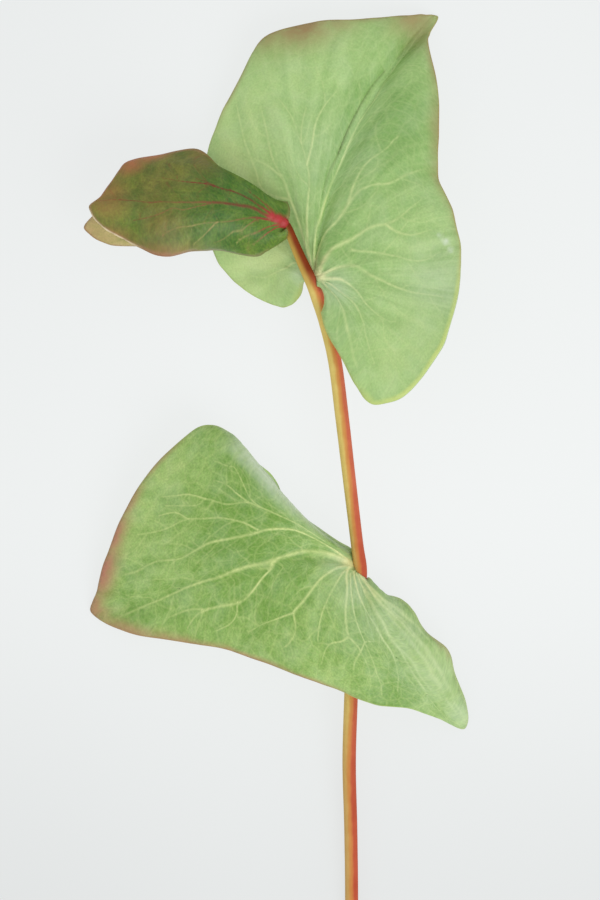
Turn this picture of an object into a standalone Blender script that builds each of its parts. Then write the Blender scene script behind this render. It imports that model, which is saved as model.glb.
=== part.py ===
"""Cut foliage stem with heart-shaped, stem-clasping leaves, lying on a table.

Metres, +Z up. +Y runs along the stem from its cut end to its tip, and the table is at z = 0.
Every leaf is a blade lofted over ribs that fan out from its foot, a ring part way round the stem.
"""

import math

import bmesh
import bpy
from mathutils import Vector

MM = 0.001

# Driving dimensions, in millimetres
BLADE_THICKNESS = 0.7
FOOT_THICKNESS = 0.9
MIDRIB_THICKNESS = 1.5
FOOT_CLEARANCE = 0.4
STEM_SIDES_RESOLUTION = 4
STEM_STEPS = 4
CUT_SLANT_DEG = 40.0
COLUMNS_PER_RIB = 3
ROW_CROWDING = 1.25

# Every point below is drawn as a camera straight above sees it, this far over this height
VIEW_DISTANCE = 843.75
VIEW_HEIGHT = 10.0

# Middle of the part's outline on the table, measured from the drawing's own zero
DRAWING_CENTRE = Vector((-5.63, -10.81, 0.0))

# Stem: x, y, height of its axis, radius. It starts at the cut end and ends under the top leaf.
STEM_PATH = (
    (12.7, -130.5, 1.72, 1.72),
    (12.9, -112.5, 2.4, 1.66),
    (12.7, -95.0, 3.7, 1.66),
    (12.3, -79.0, 5.3, 1.7),
    (12.6, -66.0, 7.0, 1.72),
    (13.2, -52.0, 8.7, 1.7),
    (14.3, -38.0, 10.4, 1.66),
    (15.1, -30.5, 11.3, 1.68),
    (14.2, -23.0, 11.9, 1.5),
    (12.2, -7.5, 12.6, 1.45),
    (10.4, 7.5, 13.0, 1.5),
    (8.6, 22.0, 13.3, 1.55),
    (6.4, 31.5, 13.5, 1.58),
    (4.4, 37.5, 13.6, 1.6),
    (2.9, 41.5, 13.7, 1.5),
    (-0.1, 48.5, 14.4, 1.34),
    (-1.8, 52.5, 14.9, 1.22),
    (-3.3, 56.0, 15.3, 1.05),
    (-4.8, 57.4, 15.6, 0.85),
    (-6.2, 58.0, 15.9, 0.6),
)

# Where each leaf's foot meets the stem, on the drawing
LOWER_FOOT = Vector((13.0, -29.5, 0.0))
UPPER_FOOT = Vector((4.0, 41.5, 0.0))
TIP_FOOT = Vector((-3.0, 56.5, 0.0))

# Turn of the foot's ring round the stem, 0 facing the camera and 90 to the right, with its place
# along the stem: at the first rib, at the midrib and at the last rib
LOWER_RING = ((78.0, -32.6), (-88.0, -29.0), (-172.0, -25.5))
UPPER_RING = ((38.0, 40.8), (122.0, 43.6), (236.0, 42.2))
TOP_RING = ((-70.0, 54.4), (-5.0, 56.0), (60.0, 57.0))
YOUNGEST_RING = ((-150.0, 55.6), (-180.0, 57.2), (-215.0, 57.6))

# Ribs: three points each, out to the margin, as x and y from the foot and the height above the
# table. They run from one end of the foot's ring, round by the leaf's tip, to the other end.
LOWER_RIBS = (
    ((4.5, -2.75, 12.5), (5.75, -4.75, 12.8), (7.75, -7.0, 11.5)),
    ((6.0, -4.75, 14.3), (9.0, -7.25, 13.3), (12.0, -7.75, 11.0)),
    ((7.25, -7.0, 15.3), (11.75, -10.5, 13.6), (15.25, -10.5, 10.8)),
    ((8.25, -9.5, 16.0), (14.0, -14.25, 13.5), (18.5, -16.0, 9.6)),
    ((9.25, -12.5, 16.6), (17.0, -18.75, 13.0), (23.75, -20.25, 7.6)),
    ((10.0, -15.0, 17.2), (19.0, -24.25, 12.0), (25.75, -26.75, 5.8)),
    ((9.75, -17.0, 17.5), (19.25, -29.0, 11.3), (28.5, -34.0, 2.6)),
    ((9.0, -19.0, 17.8), (18.0, -31.0, 12.0), (27.75, -39.25, 0.2)),
    ((7.0, -18.5, 18.3), (14.0, -29.5, 14.5), (21.75, -37.5, 5.8)),
    ((5.0, -16.0, 18.9), (9.25, -26.25, 17.2), (13.5, -35.0, 12.4)),
    ((2.25, -13.5, 19.5), (4.25, -24.25, 19.0), (5.25, -34.0, 15.5)),
    ((-1.5, -10.75, 20.0), (-3.0, -21.0, 20.0), (-4.25, -30.0, 16.2)),
    ((-6.25, -6.25, 20.0), (-11.75, -16.0, 20.2), (-16.0, -25.75, 15.7)),
    ((-10.25, -3.0, 20.0), (-20.75, -11.5, 18.6), (-30.5, -20.3, 12.5)),
    ((-13.0, -1.25, 20.0), (-28.0, -8.5, 17.4), (-43.5, -17.0, 8.8)),
    ((-17.0, 0.25, 20.0), (-36.5, -6.25, 15.5), (-57.0, -15.75, 4.0)),
    ((-21.0, 1.75, 20.0), (-42.25, -4.75, 13.8), (-65.25, -10.5, 0.2)),
    ((-20.0, 3.5, 20.0), (-41.75, -2.0, 14.6), (-63.75, -6.0, 2.4)),
    ((-19.25, 5.5, 20.0), (-41.0, 2.0, 15.6), (-62.25, -0.5, 5.0)),
    ((-17.5, 9.0, 20.0), (-37.5, 11.0, 17.2), (-58.0, 12.75, 8.4)),
    ((-15.5, 11.0, 19.8), (-33.0, 18.5, 18.6), (-50.5, 25.0, 11.4)),
    ((-13.5, 12.25, 19.0), (-27.25, 24.5, 19.0), (-37.25, 35.25, 14.5)),
    ((-12.5, 12.5, 16.5), (-22.5, 23.75, 16.2), (-30.25, 33.25, 11.2)),
    ((-11.75, 11.75, 12.5), (-20.5, 21.25, 10.5), (-25.0, 27.75, 6.5)),
    ((-11.0, 10.75, 9.0), (-18.0, 18.75, 5.5), (-19.5, 22.25, 3.0)),
    ((-8.75, 8.75, 7.2), (-15.0, 14.5, 3.2), (-16.25, 17.0, 0.2)),
    ((-3.75, 6.25, 7.4), (-8.5, 9.5, 5.0), (-12.25, 12.25, 3.0)),
)
LOWER_MIDRIB = 16

UPPER_RIBS = (
    ((1.7, -1.8, 16.2), (2.2, -4.4, 16.9), (1.4, -7.25, 17.2)),
    ((3.1, -3.0, 17.2), (3.6, -8.5, 18.2), (2.75, -12.0, 18.1)),
    ((4.4, -4.5, 17.9), (5.4, -12.0, 19.3), (6.25, -18.25, 19.6)),
    ((5.6, -5.8, 18.4), (8.0, -15.25, 20.3), (10.0, -25.5, 21.2)),
    ((7.0, -6.5, 18.5), (11.25, -17.25, 20.8), (14.25, -30.25, 22.2)),
    ((8.75, -6.0, 18.4), (16.0, -16.0, 20.7), (22.25, -27.25, 23.6)),
    ((10.75, -3.75, 17.8), (21.0, -10.25, 20.5), (30.25, -17.0, 24.8)),
    ((11.75, -0.5, 17.2), (23.5, -2.25, 19.8), (34.75, -4.75, 24.4)),
    ((11.75, 4.5, 16.8), (23.75, 5.75, 19.0), (36.2, 7.0, 22.5)),
    ((10.5, 9.0, 16.3), (22.0, 15.25, 18.0), (34.5, 18.0, 19.5)),
    ((9.25, 13.0, 15.8), (19.75, 22.75, 16.8), (30.75, 26.0, 16.0)),
    ((7.75, 16.75, 15.2), (18.75, 31.0, 15.8), (30.6, 37.0, 13.5)),
    ((6.25, 19.5, 14.2), (17.75, 38.5, 14.2), (30.5, 48.0, 10.5)),
    ((4.75, 21.0, 12.8), (15.75, 43.0, 12.0), (28.25, 59.25, 6.0)),
    ((4.0, 21.75, 12.2), (14.0, 43.75, 11.0), (28.75, 62.75, 3.0)),
    ((3.5, 22.25, 11.8), (12.75, 44.0, 10.5), (30.5, 66.75, 0.2)),
    ((2.75, 22.25, 12.4), (11.25, 45.0, 11.2), (28.0, 67.5, 2.4)),
    ((1.75, 22.5, 13.0), (9.0, 46.5, 12.2), (23.0, 67.1, 5.0)),
    ((0.0, 22.75, 13.6), (3.75, 47.0, 13.2), (11.5, 66.0, 7.7)),
    ((-2.0, 22.75, 13.5), (-2.5, 46.25, 13.0), (-0.25, 65.4, 9.2)),
    ((-4.5, 22.5, 12.6), (-8.75, 44.25, 12.0), (-12.75, 61.5, 8.7)),
    ((-6.5, 20.25, 11.4), (-13.5, 39.0, 10.3), (-18.25, 52.25, 7.5)),
    ((-8.25, 17.0, 10.0), (-16.75, 32.25, 8.6), (-23.0, 43.5, 6.2)),
    ((-9.25, 13.5, 8.8), (-19.0, 24.5, 7.0), (-26.75, 33.5, 5.0)),
    ((-10.0, 10.25, 7.8), (-19.5, 16.0, 5.5), (-28.25, 21.5, 3.8)),
    ((-10.0, 7.25, 7.0), (-18.25, 8.5, 4.0), (-25.75, 8.75, 2.0)),
    ((-9.0, 4.5, 6.4), (-15.0, 3.5, 2.6), (-21.75, 2.0, 0.2)),
    ((-7.5, 2.5, 6.4), (-11.25, -0.25, 2.4), (-15.0, -3.3, 0.2)),
    ((-5.75, 1.25, 7.0), (-7.5, -2.0, 4.2), (-9.25, -5.25, 1.0)),
    ((-4.5, 0.25, 8.0), (-5.0, -1.75, 6.0), (-5.75, -4.75, 3.0)),
)
UPPER_MIDRIB = 15

TOP_RIBS = (
    ((-1.75, -2.75, 17.0), (-2.25, -3.25, 16.6), (-3.25, -3.75, 15.8)),
    ((-3.0, -3.0, 17.9), (-4.0, -4.25, 17.3), (-4.75, -5.25, 16.0)),
    ((-4.25, -2.75, 18.7), (-6.25, -5.25, 18.4), (-8.5, -7.9, 15.8)),
    ((-6.5, -2.0, 19.9), (-11.5, -4.5, 20.1), (-16.5, -6.4, 17.7)),
    ((-9.0, -1.0, 21.2), (-17.0, -3.25, 22.3), (-24.5, -6.9, 19.4)),
    ((-11.25, 0.25, 22.3), (-22.0, -1.75, 23.8), (-31.75, -8.0, 19.8)),
    ((-13.25, 1.5, 23.0), (-27.0, 0.0, 24.6), (-39.0, -4.5, 20.0)),
    ((-15.0, 3.25, 23.5), (-30.75, 2.75, 25.0), (-46.25, -0.5, 20.6)),
    ((-16.0, 4.5, 23.7), (-33.0, 5.0, 25.2), (-49.6, 4.2, 21.0)),
    ((-16.0, 6.25, 23.5), (-32.75, 7.5, 25.0), (-47.25, 7.5, 21.2)),
    ((-15.5, 7.75, 23.1), (-31.5, 9.75, 24.6), (-43.5, 12.25, 20.8)),
    ((-14.5, 9.25, 22.4), (-29.0, 12.25, 23.8), (-39.25, 16.0, 20.0)),
    ((-12.75, 10.0, 21.4), (-25.0, 14.25, 22.2), (-32.0, 17.25, 19.4)),
    ((-10.75, 9.75, 20.2), (-19.25, 14.25, 20.4), (-24.0, 18.25, 18.2)),
    ((-8.0, 8.75, 19.0), (-13.5, 11.75, 18.6), (-16.75, 13.75, 17.0)),
    ((-5.0, 6.5, 17.9), (-8.0, 8.25, 17.2), (-9.5, 8.75, 16.0)),
    ((-2.5, 4.25, 16.9), (-3.75, 5.75, 16.0), (-4.25, 5.9, 15.0)),
    ((-0.75, 2.25, 16.2), (-0.75, 3.5, 15.4), (-1.0, 4.25, 14.4)),
)
TOP_MIDRIB = 8

YOUNGEST_RIBS = (
    ((-5.5, -2.0, 14.0), (-9.5, -3.5, 14.2), (-14.5, -4.75, 14.0)),
    ((-8.5, -1.5, 15.4), (-17.0, -4.0, 16.3), (-24.5, -5.5, 15.2)),
    ((-12.0, -0.75, 15.8), (-24.5, -3.0, 17.8), (-35.75, -5.5, 16.0)),
    ((-14.0, 0.25, 16.6), (-29.5, -1.75, 19.0), (-45.0, -5.25, 16.5)),
    ((-15.75, 2.0, 17.0), (-33.25, 1.5, 19.6), (-50.9, -1.0, 16.5)),
    ((-15.0, 4.25, 16.6), (-32.0, 4.5, 19.2), (-46.25, 3.5, 17.0)),
    ((-13.25, 6.0, 16.0), (-27.5, 8.0, 18.0), (-37.5, 9.0, 16.0)),
    ((-9.5, 5.75, 16.0), (-19.0, 8.5, 16.2), (-26.5, 11.0, 14.0)),
    ((-6.5, 3.5, 14.0), (-10.5, 5.5, 14.2), (-14.5, 7.0, 13.3)),
)
YOUNGEST_MIDRIB = 4


def placed(point):
    """A drawn point, moved to where it really lies for its height, in metres from the part's middle."""
    shrink = 1.0 - (point.z - VIEW_HEIGHT) / VIEW_DISTANCE
    real = Vector((point.x * shrink, point.y * shrink, point.z))
    return (real - DRAWING_CENTRE) * MM


def through(knots, values, at):
    """The polynomial through the values at the knots."""
    total = 0.0 * values[0]
    for i, knot in enumerate(knots):
        weight = 1.0
        for j, other in enumerate(knots):
            if j != i:
                weight *= (at - other) / (knot - other)
        total += weight * values[i]
    return total


def stem_at(y):
    """The stem's axis and radius at a place along it."""
    for low, high in zip(STEM_PATH, STEM_PATH[1:]):
        if y <= high[1]:
            break
    t = (y - low[1]) / (high[1] - low[1])
    x, y, z, radius = (a + (b - a) * t for a, b in zip(low, high))
    return Vector((x, y, z)), radius


def rib_points(leaf, k):
    """A rib with its foot on the ring in front of its three listed points."""
    knots = (0, leaf["midrib"], len(leaf["ribs"]) - 1)
    turn, y = (through(knots, values, k) for values in zip(*leaf["ring"]))
    axis, radius = stem_at(y)
    reach = radius + FOOT_CLEARANCE + FOOT_THICKNESS / 2.0
    angle = math.radians(turn)
    foot = axis + reach * Vector((math.sin(angle), 0.0, math.cos(angle)))
    return (foot, *(leaf["foot"] + Vector(point) for point in leaf["ribs"][k]))


def blade_point(ribs, a, r):
    """The blade at a, counted in ribs, and r along them: a smooth curve crosses the ribs."""
    last = len(ribs) - 1
    k = min(int(a), last - 1)
    t = a - k
    knots = (0.0, 1.0 / 3.0, 2.0 / 3.0, 1.0)
    near = (through(knots, ribs[min(max(k + d, 0), last)], r) for d in (-1, 0, 1, 2))
    before, start, end, after = near
    return 0.5 * (
        2.0 * start
        + (end - before) * t
        + (2.0 * before - 5.0 * start + 4.0 * end - after) * t**2
        + (3.0 * start - before - 3.0 * end + after) * t**3
    )


def thickness_at(a, r, midrib):
    """Blade thickness: thicker towards the foot, with a raised midrib that fades to the margin."""
    foot = BLADE_THICKNESS + (FOOT_THICKNESS - BLADE_THICKNESS) * (1.0 - r) ** 4
    if abs(a - midrib) > 0.01:
        return foot
    return BLADE_THICKNESS + (MIDRIB_THICKNESS - BLADE_THICKNESS) * (1.0 - r) ** 1.5


def apply_modifiers(obj):
    """Replaces an object's mesh by what its modifiers make of it."""
    graph = bpy.context.evaluated_depsgraph_get()
    made = bpy.data.meshes.new_from_object(obj.evaluated_get(graph))
    obj.modifiers.clear()
    obj.data = made


def plant_material(name, colour, roughness):
    material = bpy.data.materials.new(name)
    material.use_nodes = True
    shader = material.node_tree.nodes["Principled BSDF"]
    shader.inputs["Base Color"].default_value = (*colour, 1.0)
    shader.inputs["Roughness"].default_value = roughness
    shader.inputs["Metallic"].default_value = 0.0
    return material


def leaf_blade(name, leaf, rows, material, collection):
    """A leaf as a grid bent over its ribs, split into triangles, then given its thickness."""
    ribs = [rib_points(leaf, k) for k in range(len(leaf["ribs"]))]
    columns = (len(ribs) - 1) * COLUMNS_PER_RIB
    mesh = bpy.data.meshes.new(name)
    blade = bpy.data.objects.new(name, mesh)
    collection.objects.link(blade)
    thickness = blade.vertex_groups.new(name="thickness")

    grid = bmesh.new()
    bmesh.ops.create_grid(grid, x_segments=columns, y_segments=rows, size=0.5)
    weights = grid.verts.layers.deform.verify()
    for vert in grid.verts:
        a = (vert.co.x + 0.5) * (len(ribs) - 1)
        r = (vert.co.y + 0.5) ** ROW_CROWDING
        thick = thickness_at(a, r, leaf["midrib"])
        vert[weights][thickness.index] = thick / MIDRIB_THICKNESS
        point = blade_point(ribs, a, r)
        point.z = max(point.z, thick / 2.0)
        vert.co = placed(point)
    bmesh.ops.triangulate(grid, faces=grid.faces)
    grid.to_mesh(mesh)
    grid.free()

    wall = blade.modifiers.new("Thickness", "SOLIDIFY")
    wall.thickness = MIDRIB_THICKNESS * MM
    wall.vertex_group = thickness.name
    wall.offset = 0.0
    wall.use_even_offset = False
    wall.use_quality_normals = True
    apply_modifiers(blade)
    for vert in blade.data.vertices:
        vert.co.z = max(vert.co.z, 0.0)
    blade.data.shade_smooth()
    blade.data.materials.clear()
    blade.data.materials.append(material)
    return blade


def stem(name, material, collection):
    """The stem: a tapered tube along its path, cut on a slant at the foot."""
    path = bpy.data.curves.new(name + "_path", "CURVE")
    path.dimensions = "3D"
    path.bevel_depth = MM
    path.bevel_resolution = STEM_SIDES_RESOLUTION
    path.resolution_u = STEM_STEPS
    path.use_fill_caps = True
    spline = path.splines.new("BEZIER")
    spline.bezier_points.add(len(STEM_PATH) - 1)
    for knot, (x, y, z, radius) in zip(spline.bezier_points, STEM_PATH):
        knot.co = placed(Vector((x, y, z)))
        knot.radius = radius
        knot.handle_left_type = "AUTO"
        knot.handle_right_type = "AUTO"
    tube = bpy.data.objects.new(name + "_path", path)
    collection.objects.link(tube)
    graph = bpy.context.evaluated_depsgraph_get()
    mesh = bpy.data.meshes.new_from_object(tube.evaluated_get(graph))
    mesh.name = name
    bpy.data.objects.remove(tube)

    solid = bmesh.new()
    solid.from_mesh(mesh)
    bmesh.ops.remove_doubles(solid, verts=solid.verts, dist=0.01 * MM)
    slant = math.radians(CUT_SLANT_DEG)
    x, y, z, radius = STEM_PATH[0]
    cut = bmesh.ops.bisect_plane(
        solid,
        geom=solid.verts[:] + solid.edges[:] + solid.faces[:],
        plane_co=placed(Vector((x, y + radius * math.tan(slant), z))),
        plane_no=(0.0, math.cos(slant), -math.sin(slant)),
        clear_inner=True,
    )
    rim = [item for item in cut["geom_cut"] if isinstance(item, bmesh.types.BMEdge)]
    bmesh.ops.edgenet_fill(solid, edges=rim)
    bmesh.ops.recalc_face_normals(solid, faces=solid.faces)
    solid.to_mesh(mesh)
    solid.free()
    for vert in mesh.vertices:
        vert.co.z = max(vert.co.z, 0.0)
    mesh.shade_smooth()
    mesh.set_sharp_from_angle(angle=math.radians(50.0))
    mesh.materials.clear()
    mesh.materials.append(material)
    body = bpy.data.objects.new(name, mesh)
    collection.objects.link(body)
    return body


def main():
    for obj in list(bpy.data.objects):
        bpy.data.objects.remove(obj)
    collection = bpy.data.collections.new("cut_foliage_stem")
    bpy.context.scene.collection.children.link(collection)

    grown_green = plant_material("grown_leaf", (0.29, 0.47, 0.15), 0.45)
    young_green = plant_material("young_leaf", (0.13, 0.16, 0.04), 0.42)
    tip_green = plant_material("youngest_leaf", (0.35, 0.28, 0.10), 0.45)
    stem_red = plant_material("stem_skin", (0.55, 0.20, 0.07), 0.38)

    lower = {"foot": LOWER_FOOT, "ring": LOWER_RING, "ribs": LOWER_RIBS, "midrib": LOWER_MIDRIB}
    upper = {"foot": UPPER_FOOT, "ring": UPPER_RING, "ribs": UPPER_RIBS, "midrib": UPPER_MIDRIB}
    top = {"foot": TIP_FOOT, "ring": TOP_RING, "ribs": TOP_RIBS, "midrib": TOP_MIDRIB}
    youngest = {
        "foot": TIP_FOOT,
        "ring": YOUNGEST_RING,
        "ribs": YOUNGEST_RIBS,
        "midrib": YOUNGEST_MIDRIB,
    }

    stem("stem", stem_red, collection)
    leaf_blade("leaf_lower", lower, 12, grown_green, collection)
    leaf_blade("leaf_upper", upper, 12, grown_green, collection)
    leaf_blade("leaf_top", top, 9, young_green, collection)
    leaf_blade("leaf_youngest", youngest, 8, tip_green, collection)


main()
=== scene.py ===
import math

import bmesh
import bpy
import numpy as np
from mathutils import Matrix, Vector
from mathutils.geometry import delaunay_2d_cdt
from mathutils.kdtree import KDTree


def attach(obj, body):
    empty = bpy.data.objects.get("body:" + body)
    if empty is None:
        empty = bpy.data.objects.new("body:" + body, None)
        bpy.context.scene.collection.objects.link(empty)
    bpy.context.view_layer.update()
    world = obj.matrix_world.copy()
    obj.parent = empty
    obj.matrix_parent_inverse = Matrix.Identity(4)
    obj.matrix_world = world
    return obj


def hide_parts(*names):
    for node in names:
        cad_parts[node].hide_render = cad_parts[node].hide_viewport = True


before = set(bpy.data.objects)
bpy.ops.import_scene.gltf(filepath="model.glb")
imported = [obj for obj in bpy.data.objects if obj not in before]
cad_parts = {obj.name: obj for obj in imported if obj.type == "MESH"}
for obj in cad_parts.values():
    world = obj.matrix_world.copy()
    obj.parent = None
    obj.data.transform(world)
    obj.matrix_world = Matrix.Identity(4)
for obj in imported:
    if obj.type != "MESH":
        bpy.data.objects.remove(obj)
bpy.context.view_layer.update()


# Stem: one woody shoot with a thin waxy skin, olive yellow on its shaded side and red on the side
# that the sun reached. It swells a little at each node and was cut off on a slant.
MM = 0.001
VIEW_DISTANCE = 843.75
VIEW_HEIGHT = 10.0
DRAWING_CENTRE = np.array((-5.63, -10.81, 0.0))
CUT_SLANT_DEG = 40.0
STEM_STEPS = 14
STEM_SIDES = 32
STEM_RIPPLE = 0.03
STEM_RIPPLE_LENGTH = 4.0
STEM_WELD = 0.002
TIP_HEIGHT = 13.7
TIP_REDDENS = (39.0, 45.0)

# Along the stem: y, where across it the two colours meet, how orange its skin is there, and how
# much painted light brightens its red where the upper leaf shades it
STEM_COLOURS = np.array((
    (-112.0, -0.05, 1.0, 0.0),
    (-80.0, -0.12, 0.9, 0.0),
    (-64.0, 0.12, 0.4, 0.0),
    (-40.0, 0.0, 0.7, 0.0),
    (-27.0, -0.2, 0.9, 0.0),
    (-17.0, -0.16, 0.35, 0.0),
    (-8.0, 0.04, 0.1, 0.0),
    (14.0, 0.08, 0.0, 0.0),
    (24.0, 0.08, 0.0, 1.0),
    (39.0, 0.05, 0.0, 1.0),
    (42.0, 0.05, 0.0, 0.0),
))

# Along the stem from its cut end: x, y, height of its axis, radius, in drawn millimetres
STEM_PATH = np.array((
    (12.7, -130.5, 1.72, 1.72),
    (12.9, -112.5, 2.4, 1.66),
    (12.7, -95.0, 3.7, 1.66),
    (12.3, -79.0, 5.3, 1.7),
    (12.6, -66.0, 7.0, 1.72),
    (13.2, -52.0, 8.7, 1.7),
    (14.3, -38.0, 10.4, 1.66),
    (15.1, -30.5, 11.3, 1.68),
    (14.2, -23.0, 11.9, 1.56),
    (12.35, -7.5, 12.6, 1.62),
    (10.6, 7.5, 13.0, 1.7),
    (8.75, 22.0, 13.3, 1.7),
    (6.5, 31.5, 13.5, 1.68),
    (4.7, 37.5, 13.6, 1.78),
    (3.1, 41.5, 13.7, 1.58),
    (-0.1, 48.5, 14.4, 1.34),
    (-1.8, 52.5, 14.9, 1.22),
    (-3.3, 56.0, 15.3, 1.05),
    (-4.8, 57.4, 15.6, 0.85),
    (-6.2, 58.0, 15.9, 0.6),
))


def placed(points):
    """Points drawn as a camera straight above sees them, moved to their real places, in metres."""
    shrink = 1.0 - (points[:, 2:] - VIEW_HEIGHT) / VIEW_DISTANCE
    real = np.hstack((points[:, :2] * shrink, points[:, 2:]))
    return (real - DRAWING_CENTRE) * MM


def crossing(values, at):
    """A smooth curve through a row of values, read at places counted in them."""
    last = len(values) - 1
    at = np.asarray(at, float)
    k = np.clip(at.astype(int), 0, last - 1)
    t = (at - k).reshape(-1, *[1] * (values.ndim - 1))
    before, start, end, after = (values[np.clip(k + d, 0, last)] for d in (-1, 0, 1, 2))
    return 0.5 * (
        2.0 * start
        + (end - before) * t
        + (2.0 * before - 5.0 * start + 4.0 * end - after) * t**2
        + (3.0 * start - before - 3.0 * end + after) * t**3
    )


def finely(values, steps):
    """The smooth curve through a row of values, with this many steps from each to the next."""
    last = len(values) - 1
    return crossing(values, np.linspace(0, last, steps * last + 1))


def new_object(name, data):
    """An object in the scene."""
    made = bpy.data.objects.new(name, data)
    bpy.context.scene.collection.objects.link(made)
    return made


class Flow:
    """A value that flows through a node tree, so that sums of it are written as arithmetic."""

    def __init__(self, socket):
        self.socket = socket
        self.tree = socket.id_data

    def also(self, output):
        """Another output of the same node."""
        return Flow(self.socket.node.outputs[output])

    def __add__(self, other):
        return sums("ADD", self, other)

    def __sub__(self, other):
        return sums("SUBTRACT", self, other)

    def __rsub__(self, other):
        return sums("SUBTRACT", other, self)

    def __mul__(self, other):
        return sums("MULTIPLY", self, other)

    def __truediv__(self, other):
        return sums("DIVIDE", self, other)

    def __rtruediv__(self, other):
        return sums("DIVIDE", other, self)

    __radd__ = __add__
    __rmul__ = __mul__


def feed(node, inputs):
    """Sets each input of a node to a plain value or links it to a flow."""
    for name, given in inputs.items():
        if isinstance(given, Flow):
            given.tree.links.new(given.socket, node.inputs[name])
        else:
            node.inputs[name].default_value = given


def put_node(tree, kind, inputs=None, output=0, **settings):
    """What one output gives of a new node with these inputs and settings."""
    node = tree.nodes.new(kind)
    for key, setting in settings.items():
        setattr(node, key, setting)
    feed(node, inputs or {})
    return Flow(node.outputs[output])


def sums(operation, first, second):
    """The result of one sum, in which at least one of the two values flows."""
    tree = (first if isinstance(first, Flow) else second).tree
    return put_node(tree, "ShaderNodeMath", {0: first, 1: second}, operation=operation)


def vector_sums(operation, first, second, output=0):
    """The result of one sum of two vectors."""
    return put_node(first.tree, "ShaderNodeVectorMath", {0: first, 1: second}, output,
                    operation=operation)


def scaled(vector, factor):
    """A vector or a colour times a number."""
    return put_node(vector.tree, "ShaderNodeVectorMath", {0: vector, "Scale": factor},
                    operation="SCALE")


def eased(given, low, high, bottom=0.0, top=1.0, way="SMOOTHSTEP"):
    """A value run from bottom to top as it goes from low to high."""
    return put_node(given.tree, "ShaderNodeMapRange",
                    {0: given, 1: low, 2: high, 3: bottom, 4: top}, interpolation_type=way)


def speckle(place, size, detail=2.0, roughness=0.5):
    """Cloudy variation of about this size in the place's units."""
    return put_node(place.tree, "ShaderNodeTexNoise",
                    {"Vector": place, "Scale": 1.0 / size, "Detail": detail,
                     "Roughness": roughness})


def new_group(name, kind, inputs, output, output_kind):
    """A node tree with one output and these inputs, each given as a kind of socket or a size."""
    tree = bpy.data.node_groups.new(name, kind)
    for title, size in inputs.items():
        sort = size if isinstance(size, str) else {int: "Int", float: "Float"}[type(size)]
        socket = tree.interface.new_socket(title, in_out="INPUT", socket_type="NodeSocket" + sort)
        if sort != size:
            socket.default_value = size
    tree.interface.new_socket(output, in_out="OUTPUT", socket_type="NodeSocket" + output_kind)
    entry = tree.nodes.new("NodeGroupInput")
    return tree, lambda title: Flow(entry.outputs[title])


def finish_shape(shape, skin):
    """The end of a tree: the shape is shaded smooth, made real and given its skin."""
    for kind in ("GeometryNodeSetShadeSmooth", "GeometryNodeRealizeInstances"):
        shape = put_node(shape.tree, kind, {"Geometry": shape})
    dressed = put_node(shape.tree, "GeometryNodeSetMaterial", {"Geometry": shape, "Material": skin})
    feed(shape.tree.nodes.new("NodeGroupOutput"), {"Shape": dressed})


def made_by_tree(obj, tree, sizes, name):
    """What the tree makes of an object with these sizes, as a plain mesh object. The first one goes."""
    growth = obj.modifiers.new("Growth", "NODES")
    growth.node_group = tree
    for socket in tree.interface.items_tree:
        if socket.in_out == "INPUT" and socket.name in sizes:
            growth[socket.identifier] = sizes[socket.name]
    graph = bpy.context.evaluated_depsgraph_get()
    mesh = bpy.data.meshes.new_from_object(obj.evaluated_get(graph))
    mesh.name = name
    bpy.data.objects.remove(obj)
    return new_object(name, mesh)


def point_values(mesh, name, values):
    """Stores one number for each point of a mesh."""
    layer = mesh.attributes.new(name, "FLOAT", "POINT")
    layer.data.foreach_set("value", np.ascontiguousarray(values, np.float32))


def rest_on_table(mesh):
    """Lifts what lies below the table."""
    for point in mesh.vertices:
        point.co.z = max(point.co.z, 0.0)


def stem_tube_tree():
    """A tube along a curve, as thick as the curve's own radius says, with closed ends."""
    tree, given = new_group("stem_tube", "GeometryNodeTree", {
        "Shape": "Geometry",
        "Sides": STEM_SIDES,
        "Ripple": STEM_RIPPLE * MM,
        "Ripple length": STEM_RIPPLE_LENGTH * MM,
        "Skin": "Material",
    }, "Shape", "Geometry")
    ring = put_node(tree, "GeometryNodeCurvePrimitiveCircle",
                    {"Resolution": given("Sides"), "Radius": MM}, "Curve")
    thick = put_node(tree, "GeometryNodeInputRadius")
    tube = put_node(tree, "GeometryNodeCurveToMesh",
                    {"Curve": given("Shape"), "Profile Curve": ring, "Scale": thick,
                     "Fill Caps": True})
    waves = speckle(put_node(tree, "GeometryNodeInputPosition"), given("Ripple length"))
    push = scaled(put_node(tree, "GeometryNodeInputNormal"), (waves - 0.5) * given("Ripple"))
    rippled = put_node(tree, "GeometryNodeSetPosition", {"Geometry": tube, "Offset": push})
    finish_shape(rippled, given("Skin"))
    return tree


def from_screen(colour):
    """A colour as a screen shows it, from 0 to 255, as the light that it stands for."""
    values = [channel / 255.0 for channel in colour]
    return (*(v / 12.92 if v <= 0.04045 else ((v + 0.055) / 1.055) ** 2.4 for v in values), 1.0)


def blended(share, first, second, way="MIX"):
    """Two colours mixed by a share, each one a flow or a colour as a screen shows it."""
    under, over = (c if isinstance(c, Flow) else from_screen(c) for c in (first, second))
    return put_node(share.tree, "ShaderNodeMix", {0: share, 6: under, 7: over}, 2,
                    data_type="RGBA", blend_type=way)


def stored(tree, *names):
    """Numbers that the mesh holds."""
    return [put_node(tree, "ShaderNodeAttribute", None, "Fac", attribute_name=name)
            for name in names]


def new_material(name):
    """A material with its node tree and its Principled shader."""
    material = bpy.data.materials.new(name)
    material.use_nodes = True
    return material, material.node_tree, material.node_tree.nodes["Principled BSDF"]


def bumped(height, strength, distance):
    """A normal for the low relief that a height stands for."""
    return put_node(height.tree, "ShaderNodeBump",
                    {"Height": height, "Strength": strength, "Distance": distance})


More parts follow.
